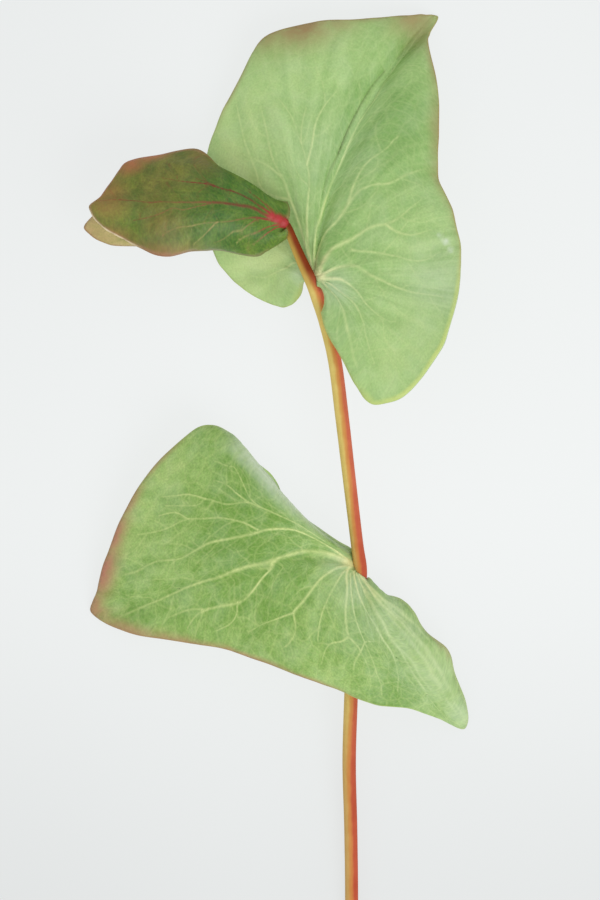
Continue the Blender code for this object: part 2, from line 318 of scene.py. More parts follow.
def stem_skin():
    """Skin in two colours, split along the stem, darker and redder towards the tip."""
    skin, tree, shader = new_material("stem_skin")
    across, split, orange, painted_light_on_red, tipward = stored(tree, "across", "split", "orange", "painted_light_on_red", "tipward")
    place = put_node(tree, "ShaderNodeTexCoord", None, "Object")
    stretched = put_node(tree, "ShaderNodeMapping", {"Vector": place, "Scale": (1.0, 0.12, 1.0)})
    streaks = speckle(stretched, 0.55 * MM, 3.0)
    blotches = speckle(place, 3.5 * MM, 3.0)
    uneven = 0.3 * blotches - 0.15
    redness = eased(across - split + uneven + (0.2 * streaks - 0.1), -0.5, 0.5)
    olive = blended(blotches, (236, 212, 126), (216, 190, 100))
    tan = blended(blotches, (212, 172, 102), (194, 154, 84))
    rose = blended(blotches, (214, 116, 84), (192, 92, 62))
    rust = blended(blotches, (196, 90, 58), (172, 66, 38))
    # Painted light: the red side is brightened where the upper leaf shades it
    sunny = scaled(blended(orange, rose, rust), 0.45 * painted_light_on_red + 1.0)
    skin_colour = blended(redness, blended(orange, olive, tan), sunny)
    skin_colour = blended(redness * (2.2 - 2.2 * redness), skin_colour, (206, 134, 58))
    tip_sunny = blended(blotches, (146, 60, 10), (112, 40, 4))
    tip_colour = blended(eased(across + uneven, -1.0, 0.35), (202, 168, 78), tip_sunny)
    colour = blended(tipward, skin_colour, tip_colour)
    colour = blended(0.22 * streaks, colour, (150, 96, 50), "MULTIPLY")
    feed(shader, {"Base Color": colour, "Roughness": 0.6, "Specular IOR Level": 0.2,
                  "Normal": bumped(streaks, 0.35, 0.08 * MM)})
    return skin


def stem_cut():
    """The sliced end: pale wood round a softer pith."""
    cut, tree, shader = new_material("stem_cut")
    place = put_node(tree, "ShaderNodeTexCoord", None, "Object")
    from_pith = vector_sums("DISTANCE", place, tuple(placed(STEM_PATH[:1, :3])[0]), "Value")
    wood = blended(speckle(place, 0.2 * MM, 3.0), (196, 190, 128), (170, 176, 104))
    colour = blended(eased(from_pith, 0.5 * MM, 1.1 * MM), (214, 206, 164), wood)
    feed(shader, {"Base Color": colour, "Roughness": 0.6})
    return cut


stem_line = finely(STEM_PATH, STEM_STEPS)
stem_axis = placed(stem_line[:, :3])
stem_curve = bpy.data.curves.new("stem_line", "CURVE")
stem_curve.dimensions = "3D"
stem_spline = stem_curve.splines.new("POLY")
stem_spline.points.add(len(stem_line) - 1)
for knot, place, radius in zip(stem_spline.points, stem_axis, stem_line[:, 3]):
    knot.co = (*place, 1.0)
    knot.radius = radius
stem_material = stem_skin()
stem_shoot = made_by_tree(new_object("stem_line", stem_curve), stem_tube_tree(),
                          {"Skin": stem_material}, "stem_shoot")

# The slanted cut, closed with a flat face
stem_body = bmesh.new()
stem_body.from_mesh(stem_shoot.data)
bmesh.ops.remove_doubles(stem_body, verts=stem_body.verts, dist=STEM_WELD * MM)
cut_slant = math.radians(CUT_SLANT_DEG)
cut_x, cut_y, cut_z, cut_radius = STEM_PATH[0]
cut_place = placed(np.array([(cut_x, cut_y + cut_radius * math.tan(cut_slant), cut_z)]))[0]
sliced = bmesh.ops.bisect_plane(
    stem_body,
    geom=stem_body.verts[:] + stem_body.edges[:] + stem_body.faces[:],
    plane_co=Vector(cut_place),
    plane_no=(0.0, math.cos(cut_slant), -math.sin(cut_slant)),
    clear_inner=True,
)
cut_rim = [item for item in sliced["geom_cut"] if isinstance(item, bmesh.types.BMEdge)]
for face in bmesh.ops.edgenet_fill(stem_body, edges=cut_rim)["faces"]:
    face.material_index = 1
    face.smooth = False
bmesh.ops.recalc_face_normals(stem_body, faces=stem_body.faces)
stem_body.to_mesh(stem_shoot.data)
stem_body.free()
stem_shoot.data.materials.clear()
for material in (stem_material, stem_cut()):
    stem_shoot.data.materials.append(material)
rest_on_table(stem_shoot.data)

# Where each point lies round and along the stem, for its two colours
stem_x, stem_y, _ = np.array([tuple(point.co) for point in stem_shoot.data.vertices]).T
axis_x = np.interp(stem_y, stem_axis[:, 1], stem_axis[:, 0])
axis_radius = np.interp(stem_y, stem_axis[:, 1], stem_line[:, 3]) * MM
point_values(stem_shoot.data, "across", (stem_x - axis_x) / axis_radius)
tints_y = (STEM_COLOURS[:, 0] - DRAWING_CENTRE[1]) * MM
for column, tint in ((1, "split"), (2, "orange"), (3, "painted_light_on_red")):
    point_values(stem_shoot.data, tint, np.interp(stem_y, tints_y, STEM_COLOURS[:, column]))
tip_y = placed(np.array([(0.0, y, TIP_HEIGHT) for y in TIP_REDDENS]))[:, 1]
point_values(stem_shoot.data, "tipward", np.interp(stem_y, tip_y, (0.0, 1.0)))
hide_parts("stem")
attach(stem_shoot, "root")


# Lower leaf: a grown, leathery, heart-shaped blade, seated on the stem without a stalk. Its left
# lobe is folded back behind a rounded fold and its right lobe hangs right of the stem.
FOOT_REACH = 0.15
BLADE_THICKNESS = 0.46
MARGIN_THICKNESS = 0.3
MARGIN_BAND = 2.0
MARGIN_WAVES = 0.3
WAVE_TEMPOS = (3.7, 5.9, 9.1)
WAVES_FADE_RIBS = 1.5
KNOB_REACH = 8.0
ROLL_RISE = 0.5
PATTERN_MM = 100.0
RIB_PLACES = (0.0, 1.0 / 3.0, 2.0 / 3.0, 1.0)

# How fine the sheet is: steps and gaps in millimetres, gaps between its fields' points in shares of
# their spacing, and counts of points
MARGIN_STEP = 0.55
MARGIN_CLEAR = 0.2
MARGIN_POINTS = 1500
SIDE_POINTS = 40
CLASPING_POINTS = 4
CURVE_STEPS = 24
VEIN_STEP = 0.6
VEIN_SAMPLE_STEP = 0.25
CLOSEST_POINTS = 0.17
FIELD_EDGE_GAP = 0.45
FIELD_POINT_GAP = 0.6
SHEET_TOLERANCE = 0.01

# How a listed place is looked for on the blade: steps from rib to rib, along a rib and finer ones,
# how far around it in millimetres, and how many millimetres of height one aside outweighs
SEARCH_RIB_STEPS = 16
SEARCH_OUT_STEPS = 120
SEARCH_FINE_STEPS = 17
SEARCH_REACH = 0.5
SEARCH_ASIDE = 6.0

# Veins: a listed vein wavers, is strong where it is wide, and fades to its end
MAIN_VEIN = 1
CREASE = 9
VEIN_SPREAD = 2.0
VEIN_WAVER = 0.11
VEIN_UNEVEN = 0.22
STEADY_POINTS = 8.0
WIDE_VEIN = 0.55
WIDE_STRENGTH = 0.95
THIN_STRENGTH = 0.75
END_STRENGTH = 0.36
TAPER = 0.7

# Side veins: steps and distances in millimetres, turns in radians, gaps, lengths and fading in shares
# of the listed ones, and how many points may lie near the parent
SIDE_VEIN_STEP = 0.8
SIDE_VEINS_START = 9.0
SIDE_VEIN_CLEAR = 1.0
SIDE_VEIN_MEETS = 0.9
SIDE_VEIN_FREE_POINTS = 3
SIDE_VEIN_FADE = 0.6
FIRST_GAP = (0.5, 1.1)
NEXT_GAP = (0.7, 1.3)
LAST_GAP = 0.3
LOOK_AHEAD = 0.5
LEAVING_TURN = (0.75, 1.15)
LENGTH_SHARE = (0.55, 1.0)
WANDER = 0.05
JITTER = 0.13
OUTWARD_LEAN = 0.035

# Three places along each rib, from the foot: x, y and height in drawn millimetres
LOWER_RIBS = (
    ((4.5, -2.75, 12.5), (5.75, -4.75, 12.8), (7.75, -7.0, 11.5)),
    ((6.0, -4.75, 14.3), (9.0, -7.25, 13.3), (12.0, -7.75, 11.0)),
    ((7.25, -7.0, 15.3), (11.75, -10.5, 13.6), (15.25, -10.5, 10.8)),
    ((8.25, -9.5, 16.0), (14.0, -14.25, 13.5), (18.5, -16.0, 9.6)),
    ((9.25, -12.5, 16.6), (17.0, -18.75, 13.0), (23.75, -20.25, 7.6)),
    ((10.0, -15.0, 17.2), (19.0, -24.25, 12.0), (25.75, -26.75, 5.8)),
    ((9.75, -17.0, 17.5), (19.25, -29.0, 11.3), (28.5, -34.0, 2.6)),
    ((9.0, -19.0, 17.8), (18.0, -31.0, 12.0), (27.9, -40.0, 0.2)),
    ((7.0, -18.5, 18.3), (14.0, -29.5, 14.5), (21.75, -37.5, 5.8)),
    ((5.0, -16.0, 18.9), (9.25, -26.25, 17.2), (13.5, -35.0, 12.4)),
    ((2.25, -13.5, 19.5), (4.25, -24.25, 19.0), (5.25, -34.0, 15.5)),
    ((-1.5, -10.75, 20.0), (-3.0, -21.0, 20.0), (-4.25, -30.0, 16.2)),
    ((-6.25, -6.25, 20.0), (-11.75, -16.0, 20.2), (-16.0, -25.75, 15.7)),
    ((-10.25, -3.0, 20.0), (-20.75, -11.5, 18.6), (-30.5, -20.5, 12.5)),
    ((-13.0, -1.25, 20.0), (-27.5, -8.75, 17.4), (-41.25, -18.6, 9.2)),
    ((-17.0, 0.25, 20.0), (-36.5, -6.25, 15.5), (-57.0, -15.75, 4.0)),
    ((-21.0, 1.75, 20.0), (-42.25, -4.75, 13.8), (-64.9, -11.1, 0.2)),
    ((-20.0, 3.5, 20.0), (-41.5, -2.0, 14.6), (-63.8, -6.2, 2.4)),
    ((-19.25, 5.5, 20.0), (-41.0, 2.0, 15.6), (-62.4, -0.5, 5.0)),
    ((-17.5, 9.0, 20.0), (-37.5, 11.0, 17.2), (-57.4, 12.75, 8.4)),
    ((-15.5, 11.0, 19.8), (-33.0, 18.5, 18.6), (-50.0, 24.6, 11.4)),
    ((-13.5, 12.25, 19.0), (-27.25, 24.5, 19.0), (-38.3, 35.1, 14.5)),
    ((-12.5, 12.5, 16.5), (-22.5, 23.75, 16.2), (-30.6, 33.25, 11.2)),
    ((-12.0, 11.75, 12.5), (-21.0, 21.0, 10.5), (-26.0, 27.5, 6.5)),
    ((-11.4, 10.6, 9.0), (-18.4, 18.4, 5.5), (-19.8, 22.0, 3.0)),
    ((-9.1, 8.6, 7.2), (-15.4, 14.3, 3.2), (-17.3, 16.3, 0.2)),
    ((-3.75, 6.25, 7.4), (-8.5, 9.5, 5.0), (-12.6, 11.9, 3.0)),
)

# Veins as the camera sees them, in steps of a quarter millimetre right and down across a frame of
# 600 by 900: width at the start and at the end in millimetres, then the points of the line
FRAME_MIDDLE = (300.0, 450.0)
FRAME_STEP = (0.25, -0.25)
LOWER_VEINS = (
    (1.2, 0.35, ((350, 565), (335, 557), (318, 552), (303, 551), (288, 555), (265, 563), (240, 568),
        (225, 575), (205, 581), (185, 588), (160, 600), (140, 608), (122, 616))),
    (0.6, 0.3, ((279, 558), (270, 567), (262, 578), (252, 591), (238, 602), (210, 608), (190, 610),
        (170, 617))),
    (0.4, 0.25, ((238, 602), (237, 614), (230, 624), (218, 630))),
    (0.4, 0.25, ((210, 608), (198, 614), (188, 628))),
    (1.0, 0.35, ((347, 561), (324, 544), (300, 532), (290, 529), (266, 530), (250, 535), (222, 540),
        (210, 543), (196, 550), (182, 558), (170, 560), (156, 562), (140, 570), (126, 574))),
    (0.5, 0.3, ((258, 530), (242, 522), (222, 518), (202, 518), (188, 519), (170, 527), (156, 532),
        (138, 535))),
    (0.35, 0.25, ((188, 519), (176, 513), (160, 516))),
    (0.55, 0.3, ((324, 541), (300, 526), (280, 516), (260, 507), (248, 502), (230, 504), (218, 502),
        (206, 499), (198, 505), (184, 506), (166, 506))),
    (0.4, 0.25, ((248, 502), (238, 494), (228, 486), (214, 480))),
    (0.4, 0.25, ((206, 499), (190, 495), (176, 496), (164, 497))),
    (0.35, 0.25, ((262, 508), (250, 498), (236, 470), (228, 466), (216, 462))),
    (0.9, 0.35, ((348, 566), (330, 572), (320, 580), (310, 592), (300, 604), (294, 612), (296, 626),
        (294, 636), (286, 646))),
    (0.4, 0.25, ((293, 613), (274, 620), (262, 625), (250, 632))),
    (0.7, 0.35, ((348, 568), (346, 587), (346, 603), (346, 623), (349, 637), (360, 650), (355, 660),
        (353, 668))),
    (0.4, 0.25, ((349, 637), (341, 641), (331, 644), (325, 652), (322, 662))),
    (0.4, 0.25, ((360, 652), (365, 643), (373, 642))),
    (0.7, 0.35, ((353, 572), (357, 592), (363, 607), (373, 623), (383, 640), (393, 655), (398, 675),
        (397, 690))),
    (0.6, 0.3, ((356, 574), (367, 592), (371, 603), (383, 623), (392, 640), (412, 662), (430, 690))),
    (0.6, 0.3, ((359, 575), (373, 593), (387, 610), (403, 627), (420, 643), (437, 667), (446, 687))),
    (0.5, 0.3, ((362, 577), (383, 600), (397, 610), (412, 623), (425, 637), (438, 652))),
    (0.4, 0.25, ((383, 600), (396, 607), (408, 617))),
    (0.5, 0.3, ((361, 577), (378, 600), (396, 624), (416, 650), (440, 690), (456, 714))),
    (0.45, 0.3, ((358, 576), (370, 600), (386, 630), (404, 658), (424, 690), (440, 712))),
    (0.4, 0.3, ((365, 580), (388, 606), (410, 630), (432, 660), (450, 692), (460, 712))),
    (0.4, 0.3, ((350, 574), (352, 600), (356, 622), (368, 650), (378, 676), (382, 694))),
    (0.45, 0.3, ((346, 570), (334, 586), (326, 602), (320, 622), (318, 640))),
)

# Reddish tint at the margin: where it is centred and how far it spreads, in the frame's steps, its
# strength, and how deep it reaches in from the margin in millimetres
LOWER_BLUSH = (
    (106, 570, 30, 1.0, 6.5), (116, 535, 26, 0.9, 5.0), (132, 502, 22, 0.7, 3.2),
    (96, 606, 18, 0.8, 6.0), (128, 628, 34, 0.7, 3.0), (160, 634, 26, 0.6, 2.2),
    (190, 642, 50, 0.6, 1.8), (250, 658, 50, 0.7, 1.6), (310, 674, 40, 0.6, 1.3),
    (160, 462, 30, 0.5, 2.0), (440, 645, 20, 0.3, 0.9),
)

# The pale edge of the lobe that is folded back, listed in the same way
LOWER_ROLL = (
    (268, 473, 10, 1.0, 2.0), (276, 484, 10, 1.0, 2.0), (284, 496, 10, 0.8, 1.6),
)

# Paler or deeper places, partly painted light and painted shade, a painted sheen along the fold,
# near the foot and on the right lobe, and softer veins: centre, spread and strength
LOWER_TONE_AND_LIGHT = (
    (440, 664, 34, 0.6), (462, 712, 22, 0.5), (150, 560, 50, 0.3), (250, 645, 50, 0.3),
    (240, 520, 60, -0.45), (200, 575, 50, -0.2), (260, 575, 34, -0.3), (340, 600, 24, 0.3),
    (176, 462, 24, 0.9), (236, 486, 24, -0.3), (154, 498, 22, 0.45), (138, 535, 22, 0.4),
    (262, 508, 24, -0.45), (282, 562, 24, -0.3), (332, 672, 20, 0.5), (278, 604, 22, -0.35),
    (314, 640, 20, -0.35), (400, 694, 22, -0.8), (388, 672, 16, -0.3), (134, 612, 18, -0.4),
    (186, 592, 14, -0.3), (366, 646, 14, -0.3), (458, 716, 10, -0.5),
)
LOWER_SHEEN = (
    *((x, y, 7, 0.7) for x, y in ((250, 462), (254, 467), (258, 472), (262, 477), (266, 482),
                                  (270, 487))),
    *((x, y, 8, 0.55) for x, y in ((244, 456), (275, 492), (281, 497), (288, 503), (295, 509))),
    *((x, y, 9, 0.4) for x, y in ((238, 448), (303, 515), (311, 520), (319, 525), (327, 530))),
    (338, 566, 15, 0.25), (354, 592, 24, 0.25), (382, 618, 28, 0.25), (406, 640, 26, 0.2),
    (436, 672, 34, 0.22), (462, 712, 22, 0.3),
)
LOWER_SOFT_VEINS = ((380, 620, 34, 0.7), (410, 650, 40, 0.9), (450, 695, 40, 0.9))


def through(knots, values, at):
    """The polynomial through the values at the knots."""
    total = 0.0
    for knot, value in zip(knots, values):
        others = [other for other in knots if other != knot]
        total += value * math.prod((at - other) / (knot - other) for other in others)
    return total


def rib_rows(leaf):
    """Four points for each rib: its foot on the stem's skin and the three listed ones."""
    rows = []
    knots = (0, leaf["midrib"], len(leaf["ribs"]) - 1)
    for k, points in enumerate(leaf["ribs"]):
        turn, y = (through(knots, values, k) for values in zip(*leaf["ring"]))
        x, z, radius = (np.interp(y, STEM_PATH[:, 1], STEM_PATH[:, column]) for column in (0, 2, 3))
        angle = math.radians(turn)
        outward = np.array((math.sin(angle), 0.0, math.cos(angle)))
        foot = np.array((x, y, z)) + (radius + FOOT_REACH) * outward
        rows.append([foot, *(np.add(leaf["foot"], points))])
    return np.array(rows)


def blade_at(rows, a, r):
    """The blade at a, counted in ribs, and r along them."""
    return through(RIB_PLACES, crossing(rows, a).swapaxes(0, 1), r[:, None])


class FlatPattern:
    """The blade laid flat like a cut-out: a fan round its foot, in millimetres."""

    WIDEST_FAN = 5.9
    STEPS = 24

    def __init__(self, rows):
        self.last = len(rows) - 1
        self.ribs = np.arange(self.last + 1, dtype=float)
        steps = np.linspace(0.0, 1.0, self.STEPS + 1)
        lines = np.array([blade_at(rows, np.full(self.STEPS + 1, k), steps) for k in self.ribs])
        runs = np.linalg.norm(np.diff(lines, axis=1), axis=2)
        self.reach = runs.sum(axis=1)
        foot_arc = np.linalg.norm(np.diff(lines[:, 0], axis=0), axis=1).sum()
        turns = []
        for k in range(self.last):
            opened = []
            for step in (self.STEPS // 2, 3 * self.STEPS // 4, self.STEPS):
                gap = np.linalg.norm(lines[k + 1, step] - lines[k, step])
                near, far = runs[k, :step].sum(), runs[k + 1, :step].sum()
                side = math.sqrt(max(gap**2 - (far - near) ** 2, (0.3 * gap) ** 2))
                opened.append(side / (0.5 * (near + far) + 1.0))
            turns.append(sum(opened) / len(opened))
        fan = min(sum(turns), self.WIDEST_FAN)
        turns = np.array(turns) * fan / sum(turns)
        self.turn = np.concatenate(([0.0], np.cumsum(turns))) - fan / 2.0
        self.inner = max(foot_arc / fan, 1.2)

    def flat(self, a, r):
        out = self.inner + r * np.interp(a, self.ribs, self.reach)
        turn = np.interp(a, self.ribs, self.turn)
        return np.stack((out * np.cos(turn), out * np.sin(turn)), axis=1)

    def holds(self, flat, clear):
        """Which points lie on the pattern, this far inside its ends."""
        turn, out = np.arctan2(flat[:, 1], flat[:, 0]), np.hypot(flat[:, 0], flat[:, 1])
        reach = np.interp(turn, self.turn, self.reach)
        aside = np.minimum(turn - self.turn[0], self.turn[-1] - turn) * out
        return (aside > clear) & (out > self.inner + clear) & (out < self.inner + reach - clear)

    def unfold(self, flat):
        a = np.interp(np.arctan2(flat[:, 1], flat[:, 0]), self.turn, self.ribs)
        r = (np.hypot(flat[:, 0], flat[:, 1]) - self.inner) / np.interp(a, self.ribs, self.reach)
        return a, np.clip(r, 0.0, 1.0)


def pairs_of(first, second):
    """Every pair of a first and a second value, as two rows."""
    return (grid.ravel() for grid in np.meshgrid(first, second))


def found_on_blade(rows, seen):
    """Where on the blade the camera sees these points of the frame: its nearest, topmost spot."""
    last = len(rows) - 1
    a, r = pairs_of(np.linspace(0.0, last, last * SEARCH_RIB_STEPS + 1),
                    np.linspace(0.0, 1.0, SEARCH_OUT_STEPS + 1))
    fine = np.linspace(-1.0, 1.0, SEARCH_FINE_STEPS)
    near_a, near_r = pairs_of(fine / SEARCH_RIB_STEPS, fine / SEARCH_OUT_STEPS)
    spots = blade_at(rows, a, r)
    found = []
    for point in (np.array(seen) - FRAME_MIDDLE) * FRAME_STEP:
        away = np.hypot(*(spots[:, :2] - point).T)
        near = away < away.min() + SEARCH_REACH
        chosen = np.argmax(np.where(near, spots[:, 2] - SEARCH_ASIDE * away, -np.inf))
        fine_a = np.clip(a[chosen] + near_a, 0.0, last)
        fine_r = np.clip(r[chosen] + near_r, 0.0, 1.0)
        closest = np.argmin(np.hypot(*(blade_at(rows, fine_a, fine_r)[:, :2] - point).T))
        found.append((fine_a[closest], fine_r[closest]))
    return np.array(found).T


def run_along(line):
    """How far along a line each of its points lies."""
    return np.concatenate(([0.0], np.cumsum(np.linalg.norm(np.diff(line, axis=0), axis=1))))


def read_along(line, run, at):
    """The line at places along it."""
    return np.stack([np.interp(at, run, column) for column in line.T], axis=-1)


def spaced(points, step):
    """A smooth line through points, with its own points this far apart."""
    fine = finely(points, CURVE_STEPS)
    run = run_along(fine)
    count = max(int(round(run[-1] / step)), 2)
    return read_along(fine, run, np.linspace(0.0, run[-1], count + 1))


def tree_of(points):
    """A search tree over flat points."""
    tree = KDTree(len(points))
    for i, point in enumerate(points):
        tree.insert((*point[:2], 0.0), i)
    tree.balance()
    return tree


def away_from(tree, place):
    """How far a flat point is from the nearest one in a search tree."""
    return tree.find((*place, 0.0))[2]


class Vein:
    """A vein's line on the flat pattern, with its half width and strength at each point."""

    def __init__(self, line, start, end, strong, faint, order):
        self.line = line
        share = np.linspace(0.0, 1.0, len(line))
        self.half = 0.5 * (start + (end - start) * share**0.7)
        self.strength = strong + (faint - strong) * share
        self.order = order


def wavering(chance, count, step=6):
    """Smooth random values round nought, one for each point of a line."""
    knots = chance.normal(size=count // step + 3)
    return np.interp(np.arange(count) / step, np.arange(len(knots)), knots)


def sideways_of(line):
    """The direction square to a flat line at each of its points."""
    ahead = np.gradient(line, axis=0)
    ahead /= np.linalg.norm(ahead, axis=1)[:, None] + 1e-9
    return np.stack((-ahead[:, 1], ahead[:, 0]), axis=1)


def side_veins(parents, free_edge, seed, order, spacing, longest, width, strength):
    """Smaller veins that leave their parents on alternate sides and stop where they meet another."""
    chance = np.random.default_rng(seed + order)
    taken = [point for vein in parents for point in vein.line]
    edge = tree_of(free_edge)
    grown = []
    for parent in parents:
        if parent.order != order - 1 and not (order == 3 and parent.order == MAIN_VEIN):
            continue
        run = run_along(parent.line)
        start = spacing * chance.uniform(*FIRST_GAP)
        side = 1.0 if chance.random() < 0.5 else -1.0
        nearby = tree_of(taken)
        while start < run[-1] - LAST_GAP * spacing:
            place = read_along(parent.line, run, start)
            ahead = read_along(parent.line, run, start + LOOK_AHEAD)
            way = math.atan2(*(ahead - place)[::-1]) + side * chance.uniform(*LEAVING_TURN)
            outward = math.atan2(place[1], place[0])
            line = [place]
            wander = chance.uniform(-WANDER, WANDER)
            reach = longest * chance.uniform(*LENGTH_SHARE)
            while len(line) * SIDE_VEIN_STEP < reach:
                lean = (outward - way + math.pi) % (2.0 * math.pi) - math.pi
                way += OUTWARD_LEAN * lean + wander + chance.normal(0.0, JITTER)
                place = place + SIDE_VEIN_STEP * np.array((math.cos(way), math.sin(way)))
                if away_from(edge, place) < SIDE_VEIN_CLEAR:
                    break
                line.append(place)
                met, _, gap = nearby.find((*place, 0.0))
                if len(line) > SIDE_VEIN_FREE_POINTS and gap < SIDE_VEIN_MEETS:
                    line.append(np.array(met[:2]))
                    break
            if len(line) > SIDE_VEIN_FREE_POINTS + 1 and np.hypot(*line[0]) > SIDE_VEINS_START:
                vein = Vein(spaced(np.array(line), SIDE_VEIN_STEP), width, TAPER * width, strength,
                            SIDE_VEIN_FADE * strength, order)
                grown.append(vein)
                taken.extend(vein.line)
            start += spacing * chance.uniform(*NEXT_GAP)
            side = -side
    return grown


def blade_margin(pattern, seed):
    """The flat outline with its waves, and the part of it that is free of the stem."""
    last = float(pattern.last)
    around = np.linspace(0.0, last, MARGIN_POINTS)
    waves = sum(np.sin(around * tempo + seed * tempo) for tempo in WAVE_TEMPOS) / len(WAVE_TEMPOS)
    notch = MARGIN_WAVES * (0.5 - 0.5 * waves)
    notch *= np.clip(np.minimum(around, last - around) / WAVES_FADE_RIBS, 0.0, 1.0)
    reach = np.interp(around, pattern.ribs, pattern.reach)
    margin = spaced(pattern.flat(around, 1.0 - notch / reach), MARGIN_STEP)
    side = np.linspace(0.0, 1.0, SIDE_POINTS)
    first_side, last_side = (pattern.flat(np.full(SIDE_POINTS, k), side) for k in (0.0, last))
    foot = pattern.flat(np.linspace(last, 0.0, SIDE_POINTS), np.zeros(SIDE_POINTS))
    outline = np.vstack((first_side[:-1], margin[:-1], last_side[::-1][:-1], foot[:-1]))
    return outline, np.vstack((first_side[CLASPING_POINTS:], margin, last_side[CLASPING_POINTS:]))


def blade_veins(rows, pattern, leaf, free_edge):
    """A blade's veins: the listed ones with a slight waver, their side veins, and its creases."""
    veins = []
    chance = np.random.default_rng(leaf["seed"])
    for start, end, seen in leaf["veins"]:
        line = spaced(pattern.flat(*found_on_blade(rows, seen)), VEIN_STEP)
        steady = np.clip(np.arange(len(line)) / STEADY_POINTS, 0.0, 1.0)
        waver = VEIN_WAVER * steady * wavering(chance, len(line))
        line = line + waver[:, None] * sideways_of(line)
        strong = WIDE_STRENGTH if start > WIDE_VEIN else THIN_STRENGTH
        vein = Vein(line, start, end, strong, END_STRENGTH, MAIN_VEIN)
        uneven = VEIN_UNEVEN * steady * wavering(chance, len(line))
        vein.strength *= np.clip(1.0 + uneven, 0.4, 1.3)
        veins.append(vein)
    for rule in leaf["side_veins"]:
        veins += side_veins(veins, free_edge, leaf["seed"], *rule)
    for width, strong, faint, seen in leaf.get("creases", ()):
        line = spaced(pattern.flat(*found_on_blade(rows, seen)), VEIN_STEP)
        veins.append(Vein(line, width, TAPER * width, -strong, -faint, CREASE))
    return veins


def vein_points(veins, edge):
    """Points along each vein and beside it, clear of the margin and of each other."""
    lines, besides = [], []
    for vein in veins:
        lines += list(vein.line)
        sideways = sideways_of(vein.line)
        for share in (VEIN_SPREAD, 0.5 * VEIN_SPREAD)[:2 if vein.order == MAIN_VEIN else 1]:
            for hand in (-1.0, 1.0):
                besides += list(vein.line + hand * share * vein.half[:, None] * sideways)
    inside = [place for place in lines + besides if away_from(edge, place) > MARGIN_CLEAR]
    near = tree_of(inside)
    dropped = set()
    for i, place in enumerate(inside):
        if i not in dropped:
            dropped.update(k for _, k, _ in near.find_range((*place, 0.0), CLOSEST_POINTS) if k > i)
    return [tuple(place) for i, place in enumerate(inside) if i not in dropped]


def blade_sheet(name, leaf):
    """The blade's middle sheet: triangles whose edges follow the veins, bent onto the ribs."""
    rows = rib_rows(leaf)
    pattern = FlatPattern(rows)
    outline, free_edge = blade_margin(pattern, leaf["seed"])
    veins = blade_veins(rows, pattern, leaf, free_edge)
    edge = tree_of(free_edge)
    points = [tuple(place) for place in outline] + vein_points(veins, edge)
    links = [(i, (i + 1) % len(outline)) for i in range(len(outline))]
    taken = tree_of(points)
    spacing = leaf["spacing"]
    low, high = outline.min(axis=0), outline.max(axis=0)
    grid = np.array([
        (u + (j % 2) * spacing / 2.0, v)
        for j, v in enumerate(np.arange(low[1], high[1], spacing * math.sqrt(3.0) / 2.0))
        for u in np.arange(low[0], high[0], spacing)
    ])
    points += [tuple(place) for place in grid[pattern.holds(grid, FIELD_EDGE_GAP * spacing)]
               if away_from(taken, place) > FIELD_POINT_GAP * spacing]
    cut = delaunay_2d_cdt([Vector(place) for place in points], links, [], 1, SHEET_TOLERANCE)
    flat = np.array([tuple(place) for place in cut[0]])
    spots = blade_at(rows, *pattern.unfold(flat))
    spots[:, 2] = np.maximum(spots[:, 2], 0.5 * BLADE_THICKNESS)

    mesh = bpy.data.meshes.new(name)
    mesh.from_pydata([Vector(spot) for spot in placed(spots)], [], [tuple(f) for f in cut[2]])
    if sum(face.normal.z * face.area for face in mesh.polygons) < 0.0:
        mesh.flip_normals()
    store_blade_values(mesh, leaf, flat, spots, veins, edge)
    return new_object(name, mesh)


def softened(share):
    """A share from nought to one, with a gentle start and end."""
    return share * share * (3.0 - 2.0 * share)


def away_by(seen, x, y, spread):
    """How far seen points are from a spot, counted in its spread."""
    return np.hypot(seen[:, 0] - x, seen[:, 1] - y) / spread


def spotted(spots, seen, rim):
    """Soft spots on a blade that the camera sees, some only so deep in from the margin."""
    value = np.zeros(len(seen))
    for x, y, spread, strength, *depth in spots:
        inward = np.clip(1.0 - rim / depth[0], 0.0, 1.0) if depth else 1.0
        spot = strength * np.exp(-away_by(seen, x, y, spread) ** 2)
        value = np.maximum(value, spot * softened(inward))
    return value


